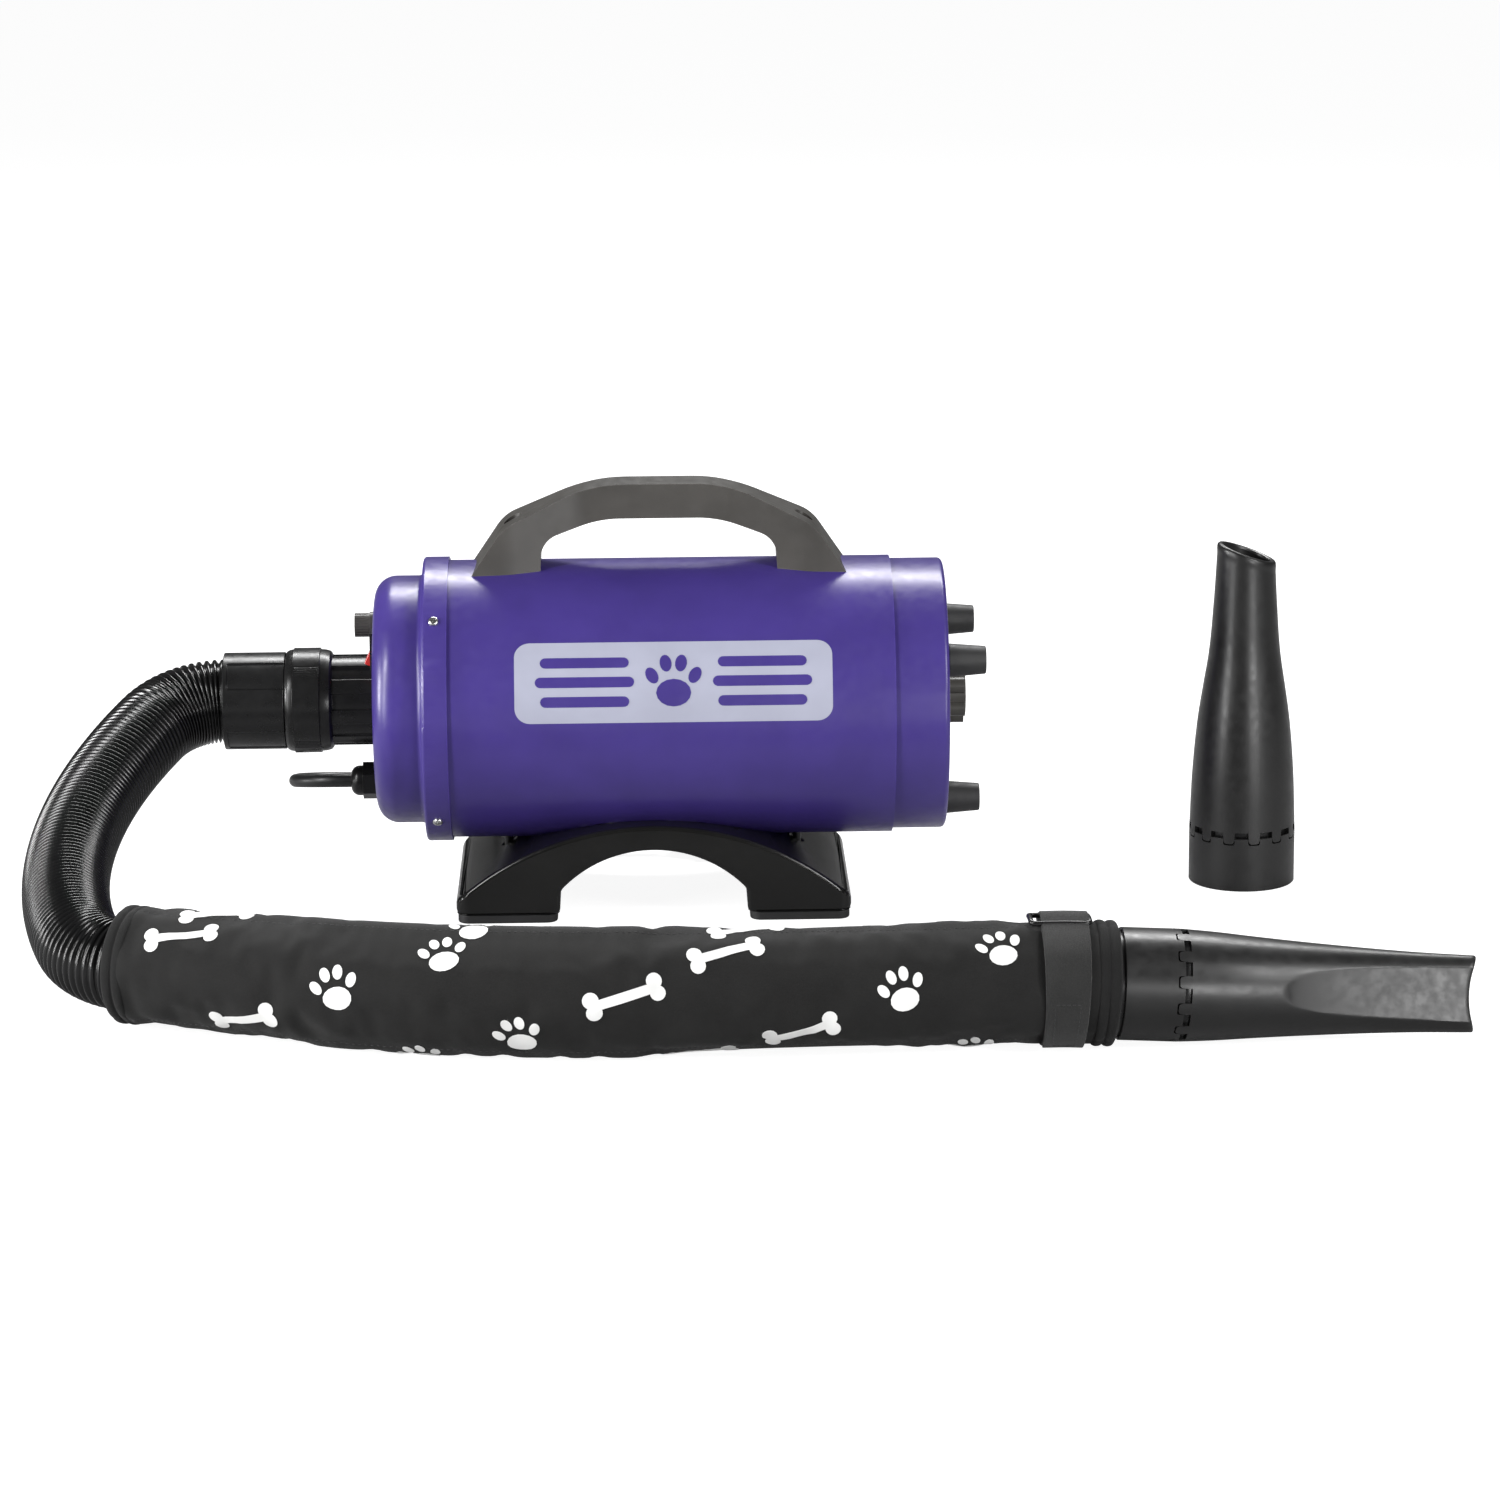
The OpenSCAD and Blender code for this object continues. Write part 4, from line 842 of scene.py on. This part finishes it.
def make_buckle():
    """Rectangular wire loop that the strap passes through."""
    half_x, half_a, corner = STRAP_W / 2 + 3.0, 8.5, 3.0
    outline = []
    for quarter in range(4):
        turn = math.pi / 2 * quarter
        cx = (half_x - corner) * (1 if quarter in (0, 3) else -1)
        cy = (half_a - corner) * (1 if quarter in (0, 1) else -1)
        for step in range(6):
            a = turn + math.pi / 2 * step / 5
            outline.append((cx + corner * math.cos(a), cy + corner * math.sin(a)))
    dense = []
    for (x0, y0), (x1, y1) in zip(outline, outline[1:] + outline[:1]):
        pieces = max(1, int(math.hypot(x1 - x0, y1 - y0) / 3))
        dense += [(x0 + (x1 - x0) * k / pieces, y0 + (y1 - y0) * k / pieces) for k in range(pieces)]
    radius = SLEEVE_R + 3.0
    middle = STRAP_AT + STRAP_W / 2 - 2.2
    path, normals = [], []
    for x, y in dense:
        angle = math.pi / 2 + y / radius
        point = WAND.on_surface(middle + x, angle, radius)
        path.append(point)
        normals.append(WAND.on_surface(middle + x, angle, radius + 1) - point)
    buckle = wire_loop("strap_buckle_loop", path, normals, 1.5)
    dress(buckle, "black_plastic", "wand", replaces=["strap_buckle"])


# ---- Nozzles ----

TONGUE = 0.23


def tooth_angles():
    """Angles around a nozzle, closer together beside each tongue of its castellated joint."""
    steps = [1.0, 0.999, 0.97, 0.9, 0.75, 0.5, 0.25]
    side = [0.41, 0.32, TONGUE * 1.001] + [TONGUE * s for s in steps[1:]]
    phases = [-0.5] + [-p for p in side] + [0.0] + side[::-1]
    return np.array([(tooth + phase) * 2 * math.pi / TEETH for tooth in range(TEETH) for phase in phases])


def tongue(angles):
    """1 in the middle of a tongue and 0 between tongues, with rounded ends."""
    phase = (angles * TEETH / (2 * math.pi) + 0.5) % 1.0 - 0.5
    inside = np.clip(np.abs(phase) / TONGUE, 0, 1)
    return np.cbrt(np.maximum(0.0, 1 - inside ** 6))


def shell(name, skin, levels, rim, wall, place):
    """Closed shell around an axis. Levels give each row's height for every angle, outside and inside."""
    rows = [place(level, *skin(level, 0.0)) for level in levels]
    for inset, rise in rim:
        rows.append(place(levels[-1] + rise, *skin(levels[-1], inset)))
    for level in levels[::-1]:
        rows.append(place(level, *skin(level, wall)))
    obj = grid_object(name, np.array(rows), wrap_rows=True, wrap_columns=True)
    shade_by_angle(obj, EDGE_SHADING)
    return obj


LIP_TOP = 43.0
LIP_R = COLLAR_R - 1.9
RIM = [(0.3, 0.5), (0.8, 0.8), (1.4, 0.8), (1.9, 0.5)]
ANGLES = tooth_angles()
WINDOW_TOP = COLLAR_LEN + 3.8
NOZZLE_EDGE = WINDOW_TOP - 6.9 * tongue(ANGLES)
COLLAR_EDGE = COLLAR_LEN - 3.9 * np.cbrt(tongue(ANGLES))
EDGE_LEVELS = [NOZZLE_EDGE + (LIP_TOP - NOZZLE_EDGE) * share for share in (0.0, 0.35, 0.7, 1.0)]


def make_collar(name, radius, place, body, replaces):
    def skin(level, inset):
        return (radius - inset) * np.cos(ANGLES), (radius - inset) * np.sin(ANGLES)
    flat = np.zeros(len(ANGLES))
    levels = [flat + 0.5, flat + 8, flat + 20, COLLAR_EDGE - 4, COLLAR_EDGE]
    rows = [place(flat, *skin(flat, 0.4))] + [place(z, *skin(z, 0)) for z in levels]
    rows += [place(z, *skin(z, COLLAR_WALL)) for z in levels[::-1]]
    obj = grid_object(name, np.array(rows), wrap_rows=True, wrap_columns=True)
    shade_by_angle(obj, EDGE_SHADING)
    dress(obj, "nozzle_plastic", body, replaces=replaces)


def inner_lip(place, radius):
    """Inner lip behind the windows of the castellated joint."""
    angles = np.arange(72) * 2 * math.pi / 72
    rows = []
    for level, r in ((LIP_FROM, radius), (LIP_TOP, radius), (LIP_TOP, radius - 2), (LIP_FROM, radius - 2)):
        flat = np.full(72, level)
        rows.append(place(flat, r * np.cos(angles), r * np.sin(angles)))
    return grid_object("lip", np.array(rows), wrap_rows=True, wrap_columns=True)


def make_flat_nozzle():
    axis = NOZZLE_AXIS
    beside = np.cross(axis, UP)
    beside /= np.linalg.norm(beside)
    roll = math.radians(NOZZLE_ROLL)
    over = np.cross(beside, axis) * math.cos(roll) + beside * math.sin(roll)
    aside = np.cross(axis, over)
    facet_from, notch_r, end_half = 88.0, 55.0, 21.0

    def place(level, height, width):
        return NOZZLE_START + np.outer(level, axis) + np.outer(height, over) + np.outer(width, aside)

    def skin(level, inset):
        half_height = curve(level, [(33, COLLAR_R), (50, 29.8), (77, 27.5), (121, 24.3),
                                    (166, 21.9), (NOZZLE_LEN, 21.1)])
        half_width = curve(level, [(33, COLLAR_R), (60, 28.6), (90, 24.0), (121, 19.0),
                                   (166, 13.0), (NOZZLE_LEN, 10.6)])
        facet = 1 - 0.30 * np.clip((level - facet_from) / (NOZZLE_LEN - facet_from), 0, 1) ** 0.62
        height = (half_height - inset) * np.cos(ANGLES)
        width = (half_width - inset) * np.sin(ANGLES)
        limit = half_width * facet - inset
        return height, np.sign(width) * np.minimum(np.abs(width), limit)

    levels = list(EDGE_LEVELS)
    heights = end_half * np.cos(ANGLES)
    notch = np.sqrt(notch_r ** 2 - heights ** 2) - math.sqrt(notch_r ** 2 - end_half ** 2)
    for level in np.linspace(46, NOZZLE_LEN - 0.8, 76):
        levels.append(level - notch * smooth((level - 140) / 56))
    obj = shell("flat_nozzle_skin", skin, levels, RIM, NOZZLE_WALL, place)
    lip = inner_lip(place, LIP_R)
    dress(lip, "black_plastic", "flat_nozzle_set")
    lip.name = "flat_nozzle_lip"
    dress(obj, "nozzle_plastic", "flat_nozzle_set", replaces=["flat_nozzle"])
    make_collar("flat_nozzle_collar_skin", COLLAR_R, place, "flat_nozzle_set", ["flat_nozzle_collar"])


def make_round_nozzle():
    centre = (SPARE_LOW + SPARE_HIGH) / 2
    radius = (SPARE_HIGH[0] - SPARE_LOW[0]) / 2
    cut = math.radians(18)
    tip_r = 17.0

    def place(level, x, y):
        return np.stack([centre[0] + x, centre[1] + y, level], 1)

    def skin(level, inset):
        r = curve(level, [(32, radius), (69, 30.4), (103, 27.3), (121, 24.6), (138, 21.9),
                          (172, 19.0), (209, tip_r)])
        r = r + 0.25 * smooth((level - (top - 4.5)) / 2.5) - inset
        return r * np.cos(ANGLES), r * np.sin(ANGLES)

    top = SPARE_TOP - 1.6 - tip_r * math.tan(cut) - tip_r * np.cos(ANGLES) * math.tan(cut)
    levels = list(EDGE_LEVELS)
    shares = np.concatenate([np.linspace(0.04, 0.96, 30), [0.972, 0.98, 0.988, 1.0]])
    levels += [LIP_TOP + (top - LIP_TOP) * share for share in shares]
    rim = [(0.4, 0.9), (1.2, 1.5), (2.2, 1.6), (3.2, 1.1), (3.8, 0.0)]
    obj = shell("round_nozzle_skin", skin, levels, rim, 3.4, place)
    dress(obj, "nozzle_plastic", "spare_nozzle", replaces=["round_nozzle"])
    lip = inner_lip(place, LIP_R)
    dress(lip, "black_plastic", "spare_nozzle")
    lip.name = "round_nozzle_lip"
    make_collar("round_nozzle_collar_skin", radius, place, "spare_nozzle", ["round_nozzle_collar"])
    fins = []
    for turn in range(6):
        angle = math.radians(30 + 60 * turn)
        out = np.array([math.cos(angle), math.sin(angle), 0])
        aside = np.array([-math.sin(angle), math.cos(angle), 0])
        corners = [(15.6, 0.8, 150), (7.0, 0.8, 150), (7.0, 0.5, 184), (14.6, 0.8, 190)]
        ring = np.array([[centre * (1, 1, 0) + out * r + aside * half * s + UP * z for r, half, z in corners]
                         for s in (1, -1)])
        fin = grid_object("fin", ring, wrap_columns=True)
        close_ends(fin)
        fins.append(fin)
    fins = join_meshes("round_nozzle_fins", fins)
    bevel(fins, 0.3)
    dress(fins, "black_plastic", "spare_nozzle")


# ---- Lock ring and cord ----

def make_lock_ring():
    """Grip ring with rounded shoulders, a raised band and groups of fine grooves."""
    length = RING_HIGH[0] - RING_LOW[0]
    full = (RING_HIGH[1] - RING_LOW[1]) / 2
    columns = 360
    angles = np.arange(columns) * 2 * math.pi / columns
    group = (np.arange(columns) % 90) - 38
    groove = np.where((group >= 0) & (group < 15) & (group % 3 == 0), 0.4, 0.0)
    profile = [(0.0, 27.4), (0.0, 28.2), (0.8, 29.4), (2.4, 30.2), (4.6, 30.6), (5.0, full), (5.6, full),
               (6.2, full), (20.0, full), (20.6, full), (21.0, full - 0.9), (24.0, full - 1.1),
               (26.6, full - 1.9), (length - 0.2, full - 3.3), (length, 27.4)]
    rows = []
    for x, r in profile:
        cut = groove if 6.0 < x < 20.3 else 0.0
        radius = r - cut
        rows.append(np.stack([np.full(columns, RING_LOW[0] + x), radius * np.cos(angles),
                              AXIS_H + radius * np.sin(angles)], 1))
    ring = grid_object("lock_ring_grip", np.array(rows), wrap_rows=True, wrap_columns=True)
    shade_by_angle(ring, EDGE_SHADING)
    dress(ring, "black_plastic", "outlet_ring", replaces=["lock_ring"])


def make_cord():
    """Mains cord: out of the gland, back beside the body, and down to the plug."""
    tilt, turn_r, turn_gap = 13.3, 28.0, 40.0
    fall, fall_r = 25.0, 60.0
    lead, back, end = 36.0, 40.0, 60.0
    gland = node_box("gland_nut")
    start_z = (gland[0][2] + gland[1][2]) / 2
    plug = node_box("plug_body")
    plug_z = (plug[0][2] + plug[1][2]) / 2
    start_x = node_box("front_cover")[0][0] + 12
    drop = start_z - (2 * turn_r + turn_gap) * math.sin(math.radians(tilt)) - plug_z
    fall_len = (drop - 2 * fall_r * (1 - math.cos(math.radians(fall)))) / math.sin(math.radians(fall))
    run = Run([(lead, 180 + tilt, turn_r, 90), (turn_gap, 0, turn_r, 90), (back, 90 + tilt, fall_r, fall),
               (fall_len, 180, fall_r, fall), (end, 0, 0, 0)], (start_x, 0, start_z), 180)
    distances = np.arange(0, run.length, 3.0)
    points = sweep(run, distances, np.full(len(distances), CORD_R), 24)
    cord = grid_object("power_cord_jacket", points, wrap_columns=True, uv_step=(3.0, 1.0))
    close_ends(cord)
    dress(cord, "cord_rubber", "housing", replaces=["power_cord"])


# ---- Studio ----

def area_light(name, place, target, size, power):
    data = bpy.data.lights.new(name, "AREA")
    data.shape = "RECTANGLE"
    data.size, data.size_y = size
    data.energy = power
    light = bpy.data.objects.new(name, data)
    light.location = place
    light.rotation_mode = "QUATERNION"
    light.rotation_quaternion = (Vector(target) - Vector(place)).to_track_quat("-Z", "Y")
    bpy.context.scene.collection.objects.link(light)


def make_studio():
    size = 30000.0
    corners = np.array([[[-size, -size, 0], [size, -size, 0]], [[-size, size, 0], [size, size, 0]]])
    floor = grid_object("floor", corners, flip=True)
    floor.data.materials.append(MATERIALS["floor_paper"])
    tree = MATERIALS["floor_paper"].node_tree
    shader = tree.nodes["Principled BSDF"]
    shader.inputs["Emission Color"].default_value = (1.0, 1.0, 1.0, 1.0)
    seen = node(tree, "ShaderNodeLightPath").outputs["Is Camera Ray"]
    glow = node(tree, "ShaderNodeMapRange", {0: seen, 3: 0.05, 4: 0.92}).outputs[0]
    tree.links.new(glow, shader.inputs["Emission Strength"])
    world = bpy.data.worlds.new("studio")
    bpy.context.scene.world = world
    world.use_nodes = True
    tree = world.node_tree
    seen = node(tree, "ShaderNodeLightPath").outputs["Is Camera Ray"]
    strength = node(tree, "ShaderNodeMapRange", {0: seen, 3: 0.10, 4: 1.0}).outputs[0]
    tree.links.new(strength, tree.nodes["Background"].inputs["Strength"])
    tree.nodes["Background"].inputs["Color"].default_value = (1.0, 1.0, 1.0, 1.0)
    target = (0.1, -0.1, 0.1)
    area_light("key_high", (-1.7, -1.3, 1.5), target, (0.4, 0.9), 36)
    area_light("key_low", (-1.6, -1.3, 0.42), target, (0.25, 0.8), 18)
    area_light("side", (-2.0, -0.35, 0.4), target, (0.3, 0.7), 30)
    area_light("fill", (1.9, -1.5, 1.4), target, (0.5, 1.2), 42)
    area_light("front", (1.25, -2.2, 0.3), (0.45, -0.3, 0.05), (0.7, 0.4), 18)
    area_light("top", (0.3, 1.4, 1.9), target, (1.8, 0.4), 60)
    bpy.context.scene.view_settings.view_transform = "Standard"


def make_camera():
    """Camera from the front and a little above, with a long lens."""
    azimuth, pitch, roll = math.radians(1.2), math.radians(13.92), math.radians(0.45)
    ahead = Vector((math.sin(azimuth) * math.cos(pitch), math.cos(azimuth) * math.cos(pitch),
                    -math.sin(pitch)))
    right = Vector((math.cos(azimuth), -math.sin(azimuth), 0))
    over = right.cross(ahead)
    right, over = (right * math.cos(roll) - over * math.sin(roll),
                   over * math.cos(roll) + right * math.sin(roll))
    data = bpy.data.cameras.new("camera")
    data.sensor_width = 36.0
    data.lens = 123.6
    camera = bpy.data.objects.new("camera", data)
    turn = Matrix((right, over, -ahead)).transposed()
    camera.matrix_world = Matrix.Translation((0.0825, -3.0065, 0.832)) @ turn.to_4x4()
    bpy.context.scene.collection.objects.link(camera)
    bpy.context.scene.camera = camera


finish_cad_nodes()
make_hose()
sleeve_surface = make_sleeve()
hem("sleeve_hem_outlet", -SLEEVE_LEAD, 8.0, 2, 1.2)
hem("sleeve_hem_nozzle", SLEEVE_END - 13.0, SLEEVE_END - 1.0, 2, 1.5)
make_seams(sleeve_surface)
make_sleeve_prints(sleeve_surface)
make_strap()
make_tube_panel()
make_flat_nozzle()
make_round_nozzle()
make_lock_ring()
make_cord()
make_studio()
make_camera()
